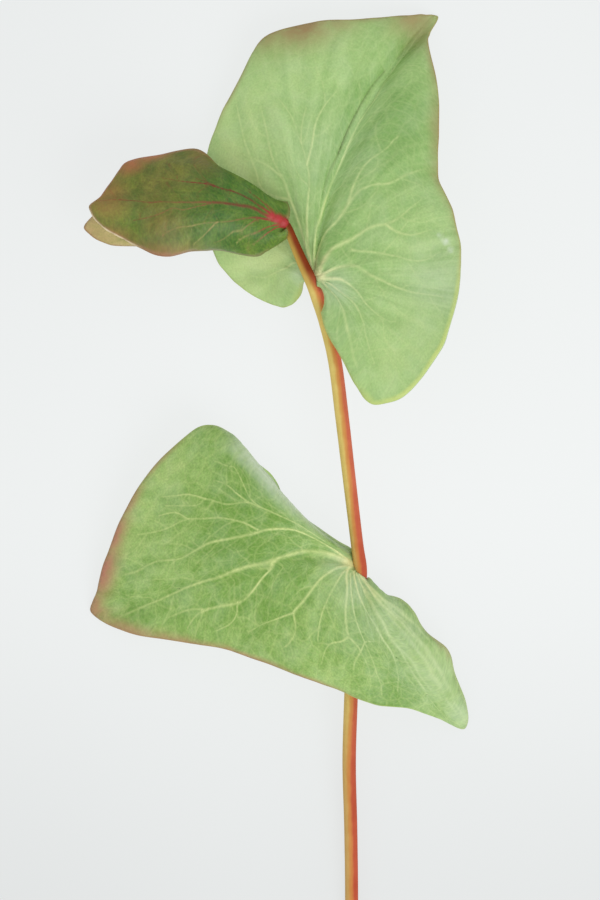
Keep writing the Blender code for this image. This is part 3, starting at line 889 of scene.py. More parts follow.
def store_blade_values(mesh, leaf, flat, spots, veins, edge):
    """Each point's vein colour and height, its distances from margin and veins, and its tints."""
    lines = [spaced(np.column_stack((vein.line, vein.half, vein.strength)), VEIN_SAMPLE_STEP)
             for vein in veins]
    samples = np.vstack(lines)
    main = [line for vein, line in zip(veins, lines) if vein.order == MAIN_VEIN]
    sample_tree, main_tree = tree_of(samples), tree_of(np.vstack(main))
    widest = VEIN_SPREAD * samples[:, 2].max()
    colour, ridge, crease, gap, main_gap, rim = np.zeros((6, len(flat)))
    for i, place in enumerate(flat):
        for _, k, away in sample_tree.find_range((*place, 0.0), widest):
            half, strength = samples[k, 2:]
            near = 1.0 - away / (VEIN_SPREAD * half)
            if near > 0.0:
                bell = softened(near)
                colour[i] = max(colour[i], strength * bell)
                ridge[i] = max(ridge[i], half * bell * strength)
                crease[i] = max(crease[i], -strength * bell)
        gap[i], main_gap[i], rim[i] = (away_from(tree, place)
                                       for tree in (sample_tree, main_tree, edge))
    seen = spots[:, :2] / FRAME_STEP + FRAME_MIDDLE
    out = np.hypot(flat[:, 0], flat[:, 1])
    pale = np.zeros(len(flat))
    for x, y, spread, strength in leaf.get("pale", ()):
        pale += strength * np.exp(-away_by(seen, x, y, spread) ** 2)
    knob = np.zeros(len(flat))
    for x, y, spread in leaf.get("knob", ()):
        knob = np.maximum(knob, np.exp(-away_by(seen, x, y, spread) ** 3) * (out < KNOB_REACH))
    rolled_edge_and_glint = leaf.get("rolled_edge_and_glint", ())
    ridge += leaf["knob_height"] * knob + ROLL_RISE * spotted(rolled_edge_and_glint, seen, rim)
    for title, values in {
        "vein": colour, "ridge": ridge, "crease": crease, "knob": knob, "pale": pale, "out": out,
        "main_gap": main_gap, "rim": rim, "turn": np.arctan2(flat[:, 1], flat[:, 0]),
        "swell": softened(np.clip(gap / leaf["quilt_width"], 0.0, 1.0)),
        "pleat": softened(np.clip(main_gap / leaf["pleat_width"], 0.0, 1.0)),
        "blush": spotted(leaf["blush"], seen, rim),
        "sheen_and_scuffs": spotted(leaf.get("sheen_and_scuffs", ()), seen, rim),
        "rolled_edge_and_glint": spotted([spot[:4] for spot in rolled_edge_and_glint], seen, rim),
        "vein_tint": spotted(leaf.get("pale_veins", ()), seen, rim),
    }.items():
        point_values(mesh, title, values)
    layer = mesh.uv_layers.new(name="flat_pattern")
    corners = np.empty(len(mesh.loops), np.int32)
    mesh.loops.foreach_get("vertex_index", corners)
    layer.data.foreach_set("uv", (flat[corners] / PATTERN_MM + 0.5).astype(np.float32).ravel())


def leaf_body_tree():
    """A blade with its thickness, its raised veins and the puffed skin between them."""
    tree, given = new_group("leaf_body", "GeometryNodeTree", {
        "Shape": "Geometry",
        "Thickness": BLADE_THICKNESS * MM,
        "Margin thickness": MARGIN_THICKNESS * MM,
        "Vein height": 0.4,
        "Vein height at the back": 0.9,
        "Quilting": 0.14 * MM,
        "Pleating": 0.35 * MM,
        "Unevenness": 0.25 * MM,
        "Unevenness length": 6.0 * MM,
        "Crease depth": 0.3 * MM,
        "Folds": 0.5 * MM,
        "Folds in a turn": 6.0,
        "Skin": "Material",
    }, "Shape", "Geometry")

    def of_point(name, kind="FLOAT"):
        return put_node(tree, "GeometryNodeInputNamedAttribute", {"Name": name}, data_type=kind)

    def held(shape, name, value, kind):
        return put_node(tree, "GeometryNodeStoreNamedAttribute",
                        {"Geometry": shape, "Name": name, "Value": value}, data_type=kind,
                        domain="POINT")

    def moved(shape, offset, chosen=True):
        return put_node(tree, "GeometryNodeSetPosition",
                        {"Geometry": shape, "Selection": chosen, "Offset": offset})

    half = 0.5 * eased(of_point("rim"), 0.0, MARGIN_BAND, given("Margin thickness"),
                       given("Thickness"), "LINEAR")
    clouds = speckle(put_node(tree, "GeometryNodeInputPosition"), given("Unevenness length"), 1.5)
    ray = put_node(tree, "ShaderNodeCombineXYZ",
                   {"X": of_point("turn") * given("Folds in a turn"), "Y": of_point("out") * 0.03})
    folds = (speckle(ray, 1.0, 1.0) - 0.5) * given("Folds") + (clouds - 0.5) * given("Unevenness")
    creased = folds - of_point("crease") * given("Crease depth")
    bellied = of_point("pleat") * given("Pleating") + creased
    puffed = of_point("swell") * given("Quilting") + bellied
    ridge = of_point("ridge") * MM
    front = half + puffed + ridge * given("Vein height")
    back = half - puffed + ridge * given("Vein height at the back")

    # A front and a back are moved apart from the sheet and joined by walls at the margin
    normal = put_node(tree, "GeometryNodeInputNormal")
    rounded = put_node(tree, "GeometryNodeBlurAttribute", {"Value": normal, "Iterations": 5},
                       data_type="FLOAT_VECTOR")
    sheet = held(given("Shape"), "outward", rounded, "FLOAT_VECTOR")
    outward = of_point("outward", "FLOAT_VECTOR")
    to_front, to_back = scaled(outward, front), scaled(outward, -1.0 * back)
    raised = put_node(tree, "GeometryNodeExtrudeMesh",
                      {"Mesh": sheet, "Offset Scale": 0.0, "Individual": False}, "Mesh",
                      mode="FACES")
    faced = held(raised, "front", raised.also("Top"), "FLOAT")
    on_front = sums("GREATER_THAN", of_point("front"), 0.5)
    walls = moved(moved(faced, to_front, on_front), to_back, 1.0 - on_front)
    turned = put_node(tree, "GeometryNodeFlipFaces", {"Mesh": moved(sheet, to_back)})
    joined = tree.nodes.new("GeometryNodeJoinGeometry")
    for shape in (walls, turned):
        tree.links.new(shape.socket, joined.inputs[0])
    closed = put_node(tree, "GeometryNodeMergeByDistance",
                      {"Geometry": Flow(joined.outputs[0]), "Distance": 0.001 * MM})
    finish_shape(closed, given("Skin"))
    return tree


def net_group():
    """The net of the finest veins: pale lines between small fields, on the flat pattern."""
    group, given = new_group("fine_net", "ShaderNodeTree", {
        "Pattern": "Vector", "Field size": "Float", "Line width": "Float",
    }, "Lines", "Float")
    field = given("Field size")
    bend = speckle(given("Pattern"), 1.25 * field, 1.0).also("Color")
    push = scaled(vector_sums("SUBTRACT", bend, (0.5, 0.5, 0.5)), 0.6 * field)
    fields = put_node(group, "ShaderNodeTexVoronoi",
                      {"Vector": vector_sums("ADD", given("Pattern"), push), "Scale": 1.0 / field},
                      "Distance", feature="DISTANCE_TO_EDGE", voronoi_dimensions="2D")
    lines = eased(fields, 0.0, given("Line width") / field, 1.0, 0.0)
    feed(group.nodes.new("NodeGroupOutput"), {"Lines": lines})
    return group


def rays_group():
    """Soft streaks that radiate from a blade's foot, on the flat pattern."""
    group, given = new_group("rays", "ShaderNodeTree", {
        "Pattern": "Vector", "Number": "Float", "Length": "Float",
    }, "Streaks", "Float")
    foot = (0.5, 0.5, 0.0)
    x = put_node(group, "ShaderNodeSeparateXYZ",
                 {0: vector_sums("SUBTRACT", given("Pattern"), foot)}, "X")
    turn = sums("ARCTAN2", x.also("Y"), x)
    out = vector_sums("DISTANCE", given("Pattern"), foot, "Value")
    ray = put_node(group, "ShaderNodeCombineXYZ",
                   {"X": turn * given("Number"), "Y": out / given("Length")})
    feed(group.nodes.new("NodeGroupOutput"), {"Streaks": speckle(ray, 1.0)})
    return group


leaf_body = leaf_body_tree()
fine_net = net_group()
leaf_rays = rays_group()


def layered(colour, layers):
    """A colour with others laid over it, each by its share."""
    for share, over in layers:
        colour = blended(share, colour, over)
    return colour


def leaf_skin(name, tones):
    """A leaf's waxy skin: clouded green, paler veins and net, blushed margins, a matt pale back."""
    skin, tree, shader = new_material(name)
    pattern = put_node(tree, "ShaderNodeUVMap", uv_map="flat_pattern")
    vein, rim, blush, front, pale, knob = stored(tree, "vein", "rim", "blush", "front", "pale", "knob")
    main_gap, out, vein_tint, crease, sheen_and_scuffs_spots, rolled_edge_and_glint_spots = stored(
        tree, "main_gap", "out", "vein_tint", "crease", "sheen_and_scuffs", "rolled_edge_and_glint")

    def net(field, line):
        return put_node(tree, "ShaderNodeGroup",
                        {"Pattern": pattern, "Field size": field / PATTERN_MM,
                         "Line width": line / PATTERN_MM}, "Lines", node_tree=fine_net)

    def rays(number, length):
        return put_node(tree, "ShaderNodeGroup",
                        {"Pattern": pattern, "Number": number, "Length": length / PATTERN_MM},
                        "Streaks", node_tree=leaf_rays)

    coarse, fine = net(3.8, 0.6), net(1.3, 0.45)
    netted = sums("MAXIMUM", coarse * tones["net"], fine * tones["fine_net"])
    streaks = rays(9.0, 30.0) * 0.5 + (rays(30.0, 18.0) * 0.5 - 0.5)
    clouds = speckle(pattern, 0.03, 4.0, 0.6)
    patches = speckle(pattern, 0.16)
    grain = speckle(pattern, 0.005, 2.0, 0.6)
    haze = speckle(pattern, 0.07, 3.0, 0.6)
    breaks = speckle(pattern, 0.012)
    spread = 0.5 * tones["clouds"]
    clouded = eased(patches * 0.4 + clouds * 0.6, 0.36, 0.64, 0.5 - spread, 0.5 + spread)
    # Paler or deeper places are added here; some of them are painted light where other parts shade the
    # blade, some painted shade along creases
    clouded = streaks * tones["streaks"] + (clouded + pale)
    # Painted shade: darker green along the main veins, for the shade of the valleys beside them
    beside = eased(main_gap, 0.3, 3.0, 1.0, 0.0)
    green = layered(blended(clouded, tones["deep"], tones["light"]), (
        ((clouded - 1.0) * 0.35, tones["vein"]),
        (beside * tones["beside"], tones["deep"]),
        (netted, tones["net_colour"]),
    ))
    darker = eased(grain, 0.3, 0.7, 1.0 - tones["grain"], 1.0 + 0.7 * tones["grain"])
    vein_colour = blended(vein_tint, tones["vein"], tones["pale_vein"])
    vein_colour = blended(eased(out, 4.0, 12.0, 0.7, 0.0), vein_colour, tones["knob"])
    broken = eased(breaks, 0.3, 0.7, 0.7, 1.15)
    edge_colour = blended(blush * 2.0, tones["pale_edge"], tones["edge"])
    rolled = eased(rim, 0.3 * tones["rolled_edge_and_glint_width"], tones["rolled_edge_and_glint_width"], 1.0, 0.0)
    face = layered(scaled(green, darker), (
        (eased(haze, 0.38, 0.72, 0.0, tones["haze"]), (206, 222, 192)),
        (vein * broken * tones["vein_share"], vein_colour),
        # Painted shade: the creases are darkened along their lines
        (crease * 0.5, tones["crease"]),
        (knob, tones["knob"]),
        (blush * eased(clouds, 0.2, 0.6, 0.75, 1.15), tones["blush"]),
        (eased(rim, 0.1, tones["edge_width"], tones["edge_share"], 0.0), edge_colour),
        # Painted sheen, and the pale marks of scuffs
        (sheen_and_scuffs_spots * eased(streaks, -0.15, 0.15, 0.75, 1.2), (218, 230, 206)),
        # A pale rolled edge; on the top leaf a painted highlight along the lower left margin
        (rolled * rolled_edge_and_glint_spots, tones["rolled_edge_and_glint"]),
    ))
    behind = layered(blended(vein * 0.6, tones["back"], tones["back_vein"]), (
        (netted * 0.6, tones["back_vein"]),
        (blush * 0.6, tones["blush"]),
    ))
    height = streaks * tones["streaks"] + (fine * -0.3 + grain * 0.35) + coarse * -0.4
    feed(shader, {
        "Base Color": blended(eased(front, 0.4, 0.6), behind, face),
        "Roughness": front * (clouds * 0.14 + 0.36 - 0.62) + 0.62,
        "Specular IOR Level": 0.35,
        "Normal": bumped(height, 0.5, 0.12 * MM),
    })
    return skin


def finish_leaf(name, node, leaf, tones, sizes):
    """A leaf piece in place of its plain node."""
    skin = leaf_skin(name + "_skin", tones)
    sheet = blade_sheet(name + "_sheet", leaf)
    blade = made_by_tree(sheet, leaf_body, {"Skin": skin, **sizes}, name)
    blade.data.materials.clear()
    blade.data.materials.append(skin)
    rest_on_table(blade.data)
    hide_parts(node)
    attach(blade, "root")


# A ring gives, for the first rib, the midrib and the last one, how far round the stem it is seated in
# degrees, and y. A rule for side veins gives order, spacing, length, width and strength.
finish_leaf("lower_leaf", "leaf_lower", {
    "slot": "grown_leaf", "foot": (13.0, -29.5, 0.0),
    "ring": ((78.0, -32.6), (-88.0, -29.0), (-172.0, -25.5)),
    "ribs": LOWER_RIBS, "midrib": 16, "knob": ((350, 565, 4.5), (345, 562, 4.0)), "knob_height": 0.7,
    "veins": LOWER_VEINS, "side_veins": ((2, 7.0, 14.0, 0.42, 0.3), (3, 4.5, 6.0, 0.32, 0.15)),
    "blush": LOWER_BLUSH, "rolled_edge_and_glint": LOWER_ROLL, "pale": LOWER_TONE_AND_LIGHT, "sheen_and_scuffs": LOWER_SHEEN,
    "pale_veins": LOWER_SOFT_VEINS, "spacing": 0.85, "seed": 11, "quilt_width": 2.2, "pleat_width": 6.0,
}, {
    "deep": (108, 150, 58), "light": (152, 184, 102), "clouds": 0.8, "streaks": 1.2, "grain": 0.13,
    "haze": 0.1, "beside": 0.35, "vein": (214, 224, 148), "vein_share": 0.95,
    "pale_vein": (186, 206, 146), "net_colour": (190, 206, 128), "net": 0.24, "fine_net": 0.12,
    "crease": (96, 128, 66), "knob": (226, 224, 150), "blush": (178, 122, 96),
    "rolled_edge_and_glint": (172, 204, 108), "rolled_edge_and_glint_width": 2.2, "edge": (176, 140, 98), "pale_edge": (188, 208, 128),
    "edge_share": 0.6, "edge_width": 0.45, "back": (176, 196, 142), "back_vein": (202, 212, 160),
}, {})


# Upper leaf: the largest blade, turned up and to the right. Its left lobe lies behind the stem, its
# right lobe in front of it, and its lower right margin is rolled to a bright rim.
UPPER_RIBS = (
    ((1.7, -1.8, 16.2), (2.2, -4.4, 16.9), (1.4, -7.25, 17.2)),
    ((3.1, -3.0, 17.2), (3.6, -8.5, 18.2), (2.75, -12.0, 18.1)),
    ((4.4, -4.5, 17.9), (5.4, -12.0, 19.3), (6.25, -18.25, 19.6)),
    ((5.6, -5.8, 18.4), (8.0, -15.25, 20.3), (10.0, -25.5, 21.2)),
    ((7.0, -6.5, 18.5), (11.25, -17.25, 20.8), (14.25, -30.25, 22.2)),
    ((8.75, -6.0, 18.4), (16.0, -16.0, 20.7), (22.75, -27.7, 23.6)),
    ((10.75, -3.75, 17.8), (21.0, -10.25, 20.5), (30.9, -17.3, 24.8)),
    ((11.75, -0.5, 17.2), (23.5, -2.25, 19.8), (35.3, -4.9, 24.4)),
    ((11.75, 4.5, 16.8), (23.75, 5.75, 19.0), (36.5, 7.0, 22.5)),
    ((10.5, 9.0, 16.3), (22.0, 15.25, 18.0), (34.5, 18.0, 19.5)),
    ((9.25, 13.0, 15.8), (19.75, 22.75, 16.8), (30.75, 26.0, 16.0)),
    ((7.75, 16.75, 15.2), (18.75, 31.0, 15.8), (30.6, 37.0, 13.5)),
    ((6.25, 19.5, 14.2), (17.75, 38.5, 14.2), (30.5, 48.0, 10.5)),
    ((4.75, 21.0, 12.8), (15.75, 43.0, 12.0), (28.25, 59.25, 6.0)),
    ((4.0, 21.75, 12.2), (14.0, 43.75, 11.0), (28.75, 62.75, 3.0)),
    ((3.5, 22.25, 11.8), (12.75, 44.0, 10.5), (30.5, 66.75, 0.2)),
    ((2.75, 22.25, 12.4), (11.25, 45.0, 11.2), (28.0, 67.5, 2.4)),
    ((1.75, 22.5, 13.0), (9.0, 46.5, 12.2), (23.0, 67.1, 5.0)),
    ((0.0, 22.75, 13.6), (3.75, 47.0, 13.2), (11.5, 66.0, 7.7)),
    ((-2.0, 22.75, 13.5), (-2.5, 46.25, 13.0), (-0.25, 65.4, 9.2)),
    ((-4.5, 22.5, 12.6), (-8.75, 44.25, 12.0), (-12.75, 61.5, 8.7)),
    ((-6.5, 20.25, 11.4), (-13.5, 39.0, 10.3), (-18.25, 52.25, 7.5)),
    ((-8.25, 17.0, 10.0), (-16.75, 32.25, 8.6), (-23.0, 43.5, 6.2)),
    ((-9.25, 13.5, 8.8), (-19.0, 24.5, 7.0), (-26.75, 33.5, 5.0)),
    ((-10.0, 10.25, 7.8), (-19.5, 16.0, 5.5), (-28.25, 21.5, 3.8)),
    ((-10.0, 7.25, 7.0), (-18.25, 8.5, 4.0), (-25.75, 8.75, 2.0)),
    ((-9.0, 4.5, 6.4), (-15.0, 3.5, 2.6), (-21.75, 2.0, 0.2)),
    ((-7.5, 2.5, 6.4), (-11.25, -0.25, 2.4), (-15.0, -3.3, 0.2)),
    ((-5.75, 1.25, 7.0), (-7.5, -2.0, 4.2), (-8.75, -5.5, 1.0)),
    ((-3.1, -0.5, 9.5), (-3.7, -2.6, 6.5), (-5.9, -4.9, 3.0)),
)
UPPER_VEINS = (
    (1.2, 0.28, ((316, 275), (314, 258), (315, 235), (322, 210), (330, 187), (340, 165), (350, 140),
        (360, 122), (375, 100), (392, 72), (410, 47), (425, 25))),
    (0.95, 0.3, ((313, 272), (309, 252), (307, 222), (309, 185), (307, 165), (300, 140), (292, 117),
        (280, 100))),
    (0.6, 0.28, ((307, 165), (312, 145), (317, 120), (335, 92))),
    (0.5, 0.3, ((301, 142), (302, 125), (306, 108))),
    (0.95, 0.3, ((313, 271), (308, 252), (300, 225), (292, 202), (285, 182), (272, 157), (266, 130),
        (262, 108))),
    (0.5, 0.3, ((283, 178), (267, 165), (245, 155))),
    (0.55, 0.3, ((290, 200), (275, 196), (262, 186), (255, 168), (242, 130), (237, 105))),
    (0.95, 0.3, ((317, 274), (317, 256), (325, 235), (338, 220), (349, 204), (360, 191), (375, 185),
        (390, 182), (407, 175), (425, 170))),
    (0.6, 0.28, ((349, 204), (355, 185), (365, 165), (385, 150), (397, 138))),
    (1.05, 0.3, ((319, 275), (322, 264), (332, 250), (350, 241), (364, 231), (374, 226), (386, 224),
        (400, 217), (420, 200))),
    (0.6, 0.28, ((386, 224), (397, 232), (412, 235), (430, 230))),
    (0.55, 0.28, ((352, 250), (364, 252), (380, 254), (398, 257), (412, 261), (428, 260), (440, 253))),
    (0.95, 0.3, ((321, 277), (328, 272), (340, 267), (355, 266), (372, 275), (390, 285), (412, 292),
        (440, 297))),
    (0.7, 0.28, ((322, 279), (331, 279), (343, 281), (355, 290), (365, 302), (375, 312), (387, 321),
        (396, 322))),
    (0.75, 0.28, ((323, 281), (331, 285), (340, 292), (355, 305), (362, 320), (365, 334), (369, 348),
        (374, 362))),
    (0.75, 0.28, ((323, 283), (329, 290), (336, 297), (342, 308), (347, 327), (352, 350), (356, 368))),
    (0.5, 0.25, ((300, 262), (285, 268), (268, 276), (252, 276))),
)
UPPER_BLUSH = (
    (302, 30, 34, 0.95, 14.0), (272, 36, 24, 0.7, 9.0), (336, 28, 24, 0.6, 9.0),
    (412, 22, 26, 0.75, 12.0), (360, 18, 40, 0.55, 3.0), (238, 88, 40, 0.5, 2.4),
    (434, 130, 46, 0.55, 3.6), (436, 180, 34, 0.5, 3.0), (436, 60, 40, 0.6, 2.4),
    (450, 210, 40, 0.5, 1.6), (460, 260, 40, 0.35, 1.0),
)
UPPER_ROLL = (
    (440, 352, 40, 1.0, 1.7), (402, 394, 36, 1.0, 1.7), (456, 300, 36, 0.7, 1.3),
    (376, 404, 20, 0.8, 1.3), (298, 297, 8, 0.5, 1.3),
)

# Creases: width, strength at the start and at the end, then the points of the line
UPPER_CREASES = (
    (0.8, 0.5, 0.9, ((322, 196), (329, 172), (336, 158), (341, 147))),
    (0.55, 1.6, 0.8, ((338, 153), (343, 141), (349, 127), (355, 115), (363, 100), (372, 86),
        (384, 72))),
    (1.5, 0.6, 0.25, ((315, 266), (312, 250), (314, 228), (318, 205))),
    (1.2, 0.6, 0.1, ((319, 264), (320, 250), (323, 238))),
    (0.7, 0.5, 0.5, ((398, 58), (412, 40), (430, 19))),
)
# Paler or deeper places: centre, spread and strength. Partly painted light, where the top leaf and the
# stem shade the blade, and partly painted shade along the creases
UPPER_TONE_AND_LIGHT = (
    (420, 240, 50, 0.6), (400, 350, 50, 0.9), (250, 125, 40, 0.7), (255, 280, 40, 1.5),
    (256, 250, 24, 1.0), (282, 262, 14, 1.2), (330, 60, 60, 0.35), (300, 130, 50, 0.35),
    (400, 130, 46, -0.6), (338, 150, 30, -0.35), (336, 112, 16, -0.3), (322, 240, 20, -0.5),
    (238, 160, 18, 1.3), (256, 179, 16, 1.5), (271, 196, 13, 1.0), (286, 240, 16, 0.8),
    (240, 132, 34, 0.35), (232, 100, 24, 0.3), (378, 102, 12, 0.2), (404, 46, 18, -0.4),
    (358, 90, 14, -0.5), (360, 198, 16, -0.4), (320, 180, 14, -0.45), (342, 238, 15, -0.35),
    (372, 262, 14, -0.25),
)
# Painted sheen on the right margin and round the foot, and three small white scuffs near the right
# margin: centre, spread and strength
UPPER_SHEEN_AND_SCUFFS = (
    (446, 242, 3.5, 0.8), (451, 250, 3.0, 0.8), (440, 236, 2.5, 0.6), (442, 282, 34, 0.25),
    (338, 290, 18, 0.28), (320, 150, 40, 0.1), (300, 275, 8, 0.3),
)
finish_leaf("upper_leaf", "leaf_upper", {
    "slot": "grown_leaf", "foot": (4.0, 41.5, 0.0),
    "ring": ((38.0, 40.8), (122.0, 43.6), (236.0, 42.2)),
    "ribs": UPPER_RIBS, "midrib": 15, "knob": ((321, 277, 5.0),), "knob_height": 0.6,
    "veins": UPPER_VEINS, "side_veins": ((2, 8.0, 14.0, 0.4, 0.32), (3, 5.0, 6.0, 0.3, 0.18)),
    "creases": UPPER_CREASES, "blush": UPPER_BLUSH, "rolled_edge_and_glint": UPPER_ROLL, "pale": UPPER_TONE_AND_LIGHT,
    "sheen_and_scuffs": UPPER_SHEEN_AND_SCUFFS, "spacing": 0.85, "seed": 23, "quilt_width": 2.2, "pleat_width": 6.0,
}, {
    "deep": (130, 170, 92), "light": (168, 200, 126), "clouds": 0.35, "streaks": 2.1, "grain": 0.07,
    "haze": 0.1, "beside": 0.4, "vein": (208, 222, 152), "vein_share": 0.92,
    "pale_vein": (222, 222, 160), "net_colour": (202, 218, 150), "net": 0.17, "fine_net": 0.1,
    "crease": (98, 118, 54), "knob": (222, 222, 160), "blush": (154, 130, 86),
    "rolled_edge_and_glint": (192, 208, 122), "rolled_edge_and_glint_width": 1.3, "edge": (172, 144, 88), "pale_edge": (184, 198, 116),
    "edge_share": 0.7, "edge_width": 0.45, "back": (180, 200, 146), "back_vein": (204, 214, 164),
}, {"Folds": 1.3 * MM, "Crease depth": 0.5 * MM})


# Top leaf: a young blade, thinner and still dark, at the very tip of the stem. Its red raised veins
# run together in a crimson foot, which clasps the stem.
TIP_FOOT = (-3.0, 56.5, 0.0)
TOP_RIBS = (
    ((-0.3, -1.4, 17.0), (-0.25, -2.3, 16.6), (-0.6, -3.3, 15.8)),
    ((-2.7, -2.7, 17.9), (-4.0, -4.6, 17.3), (-5.25, -6.4, 16.0)),
    ((-4.25, -2.75, 18.7), (-6.25, -5.25, 18.4), (-8.5, -7.9, 15.8)),
    ((-6.5, -2.0, 19.9), (-11.5, -4.5, 20.1), (-16.5, -6.4, 17.7)),
    ((-9.0, -1.0, 21.2), (-17.0, -3.25, 22.3), (-24.5, -6.6, 19.4)),
    ((-11.25, 0.25, 22.3), (-22.0, -1.75, 23.8), (-31.75, -8.0, 19.8)),
    ((-13.25, 1.5, 23.0), (-27.0, 0.0, 24.6), (-39.0, -4.5, 20.0)),
    ((-15.0, 3.25, 23.5), (-30.75, 2.75, 25.0), (-46.25, -0.5, 20.6)),
    ((-16.0, 4.5, 23.7), (-33.0, 5.0, 25.2), (-49.6, 4.2, 21.0)),
    ((-16.0, 6.25, 23.5), (-32.75, 7.5, 25.0), (-46.7, 6.9, 21.2)),
    ((-15.5, 7.75, 23.1), (-31.5, 9.75, 24.6), (-43.1, 11.8, 20.8)),
    ((-14.5, 9.25, 22.4), (-29.0, 12.25, 23.8), (-40.0, 15.3, 20.0)),
    ((-12.75, 10.0, 21.4), (-25.0, 14.25, 22.2), (-32.0, 16.9, 19.4)),
    ((-10.75, 9.75, 20.2), (-19.25, 14.25, 20.4), (-22.7, 18.45, 18.2)),
    ((-8.0, 8.75, 19.0), (-13.5, 11.75, 18.6), (-16.9, 13.4, 17.0)),
    ((-5.0, 6.5, 17.9), (-8.0, 8.25, 17.2), (-9.5, 8.75, 16.0)),
    ((-2.5, 4.25, 16.9), (-3.75, 5.75, 16.0), (-4.25, 5.9, 15.0)),
    ((0.2, 1.9, 16.2), (0.2, 3.5, 15.4), (-0.4, 5.2, 14.4)),
)
TOP_VEINS = (
    (0.48, 0.24, ((286, 224), (277, 221), (263, 213), (253, 208), (238, 206), (225, 204), (213, 202),
        (203, 201), (190, 202), (173, 203), (160, 202), (147, 202), (130, 201), (113, 200),
        (100, 201))),
    (0.4, 0.2, ((285, 225), (276, 222), (263, 219), (253, 218), (240, 219), (227, 221), (217, 222),
        (203, 223), (190, 225), (180, 227), (170, 231), (163, 235))),
    (0.27, 0.2, ((217, 222), (210, 228), (203, 235), (195, 242))),
    (0.29, 0.2, ((257, 219), (243, 228), (233, 232), (225, 238), (214, 242))),
    (0.34, 0.2, ((284, 226), (274, 225), (263, 228), (253, 232), (243, 237), (237, 242))),
    (0.34, 0.2, ((284, 227), (278, 227), (270, 231), (262, 237), (254, 243))),
    (0.4, 0.2, ((285, 223), (275, 218), (260, 207), (247, 198), (233, 192), (222, 189), (210, 184),
        (197, 179))),
    (0.27, 0.2, ((222, 189), (205, 184), (187, 182), (173, 180), (163, 178))),
    (0.34, 0.2, ((285, 222), (277, 217), (268, 208), (260, 201), (250, 193))),
    (0.4, 0.2, ((285, 221), (278, 217), (272, 210), (266, 204))),
    (0.27, 0.2, ((213, 202), (197, 207), (183, 210), (173, 208), (163, 213), (150, 217), (135, 220))),
)
TOP_BLUSH = (
    (108, 196, 28, 0.5, 30.0), (132, 168, 16, 0.9, 8.0), (152, 160, 22, 0.85, 4.5),
    (156, 192, 34, 0.3, 30.0), (162, 222, 26, 0.3, 30.0), (184, 152, 24, 0.4, 1.2),
    (110, 184, 20, 0.4, 2.0), (170, 176, 40, 0.25, 30.0), (200, 158, 24, 0.3, 20.0),
    (165, 250, 36, 0.5, 3.0), (120, 230, 26, 0.4, 4.0),
)
# A painted highlight: a cream line where the lower left margin catches the light
TOP_GLINT = (
    (98, 216, 9, 1.0, 0.55), (108, 227, 9, 1.0, 0.55), (119, 236, 9, 1.0, 0.55),
    (132, 241, 9, 0.8, 0.55),
)
TOP_PALE = (
    (205, 166, 30, -0.75), (252, 204, 20, -0.4), (208, 228, 26, -0.3), (250, 250, 30, 0.3),
    (106, 200, 16, 0.5),
)
# A faint painted sheen near the lower margin
TOP_SHEEN = (
    (176, 250, 24, 0.05), (205, 247, 20, 0.05),
)
TOP_PALE_VEINS = (
    (190, 242, 34, 1.0), (236, 244, 26, 1.0), (218, 230, 16, 0.9),
)
finish_leaf("top_leaf", "leaf_top", {
    "slot": "young_leaf", "foot": TIP_FOOT, "ring": ((-70.0, 54.4), (-5.0, 56.0), (60.0, 57.0)),
    "ribs": TOP_RIBS, "midrib": 8, "knob": ((285, 222, 5.0), (278, 219, 4.6), (271, 216, 3.6)),
    "knob_height": 0.7,
    "veins": TOP_VEINS, "side_veins": ((2, 6.5, 10.0, 0.22, 0.3),), "blush": TOP_BLUSH,
    "rolled_edge_and_glint": TOP_GLINT, "pale": TOP_PALE, "sheen_and_scuffs": TOP_SHEEN, "pale_veins": TOP_PALE_VEINS,
    "spacing": 0.6, "seed": 37, "quilt_width": 1.6, "pleat_width": 4.0,
}, {
    "deep": (48, 98, 14), "light": (98, 130, 36), "clouds": 1.0, "streaks": 2.2, "grain": 0.2,
    "haze": 0.03, "beside": 0.3, "vein": (104, 22, 18), "vein_share": 1.9,
    "pale_vein": (158, 158, 88), "net_colour": (128, 136, 62), "net": 0.2, "fine_net": 0.12,
    "crease": (60, 70, 30), "knob": (178, 50, 52), "blush": (170, 106, 64),
    "rolled_edge_and_glint": (240, 220, 182), "rolled_edge_and_glint_width": 0.32, "edge": (172, 112, 84), "pale_edge": (140, 136, 82),
    "edge_share": 0.75, "edge_width": 0.7, "back": (150, 148, 96), "back_vein": (160, 104, 82),
}, {"Quilting": 0.1 * MM, "Vein height": 0.75})


# Youngest leaf: an olive blade that still has to unfold. It grows from the same tip and lies nested
# behind the top leaf, so that only its lower edge and its end show.
YOUNGEST_RIBS = (
    ((-5.5, -2.0, 14.0), (-9.5, -3.5, 14.2), (-14.5, -4.75, 14.0)),
    ((-8.5, -1.5, 15.4), (-17.0, -4.0, 16.3), (-24.5, -5.5, 15.2)),
    ((-12.0, -0.75, 15.8), (-24.5, -3.0, 17.8), (-35.75, -5.2, 16.0)),
    ((-14.0, 0.25, 16.6), (-29.5, -1.75, 19.0), (-45.0, -5.0, 16.5)),
    ((-15.75, 2.0, 17.0), (-33.25, 1.5, 19.6), (-50.9, -1.0, 16.5)),
    ((-15.0, 4.25, 16.6), (-32.0, 4.5, 19.2), (-46.25, 3.5, 17.0)),
    ((-13.25, 6.0, 16.0), (-27.5, 8.0, 18.0), (-37.5, 9.0, 16.0)),
    ((-9.5, 5.75, 16.0), (-19.0, 8.5, 16.2), (-26.5, 11.0, 14.0)),
    ((-6.5, 3.5, 14.0), (-10.5, 5.5, 14.2), (-14.5, 7.0, 13.3)),
)
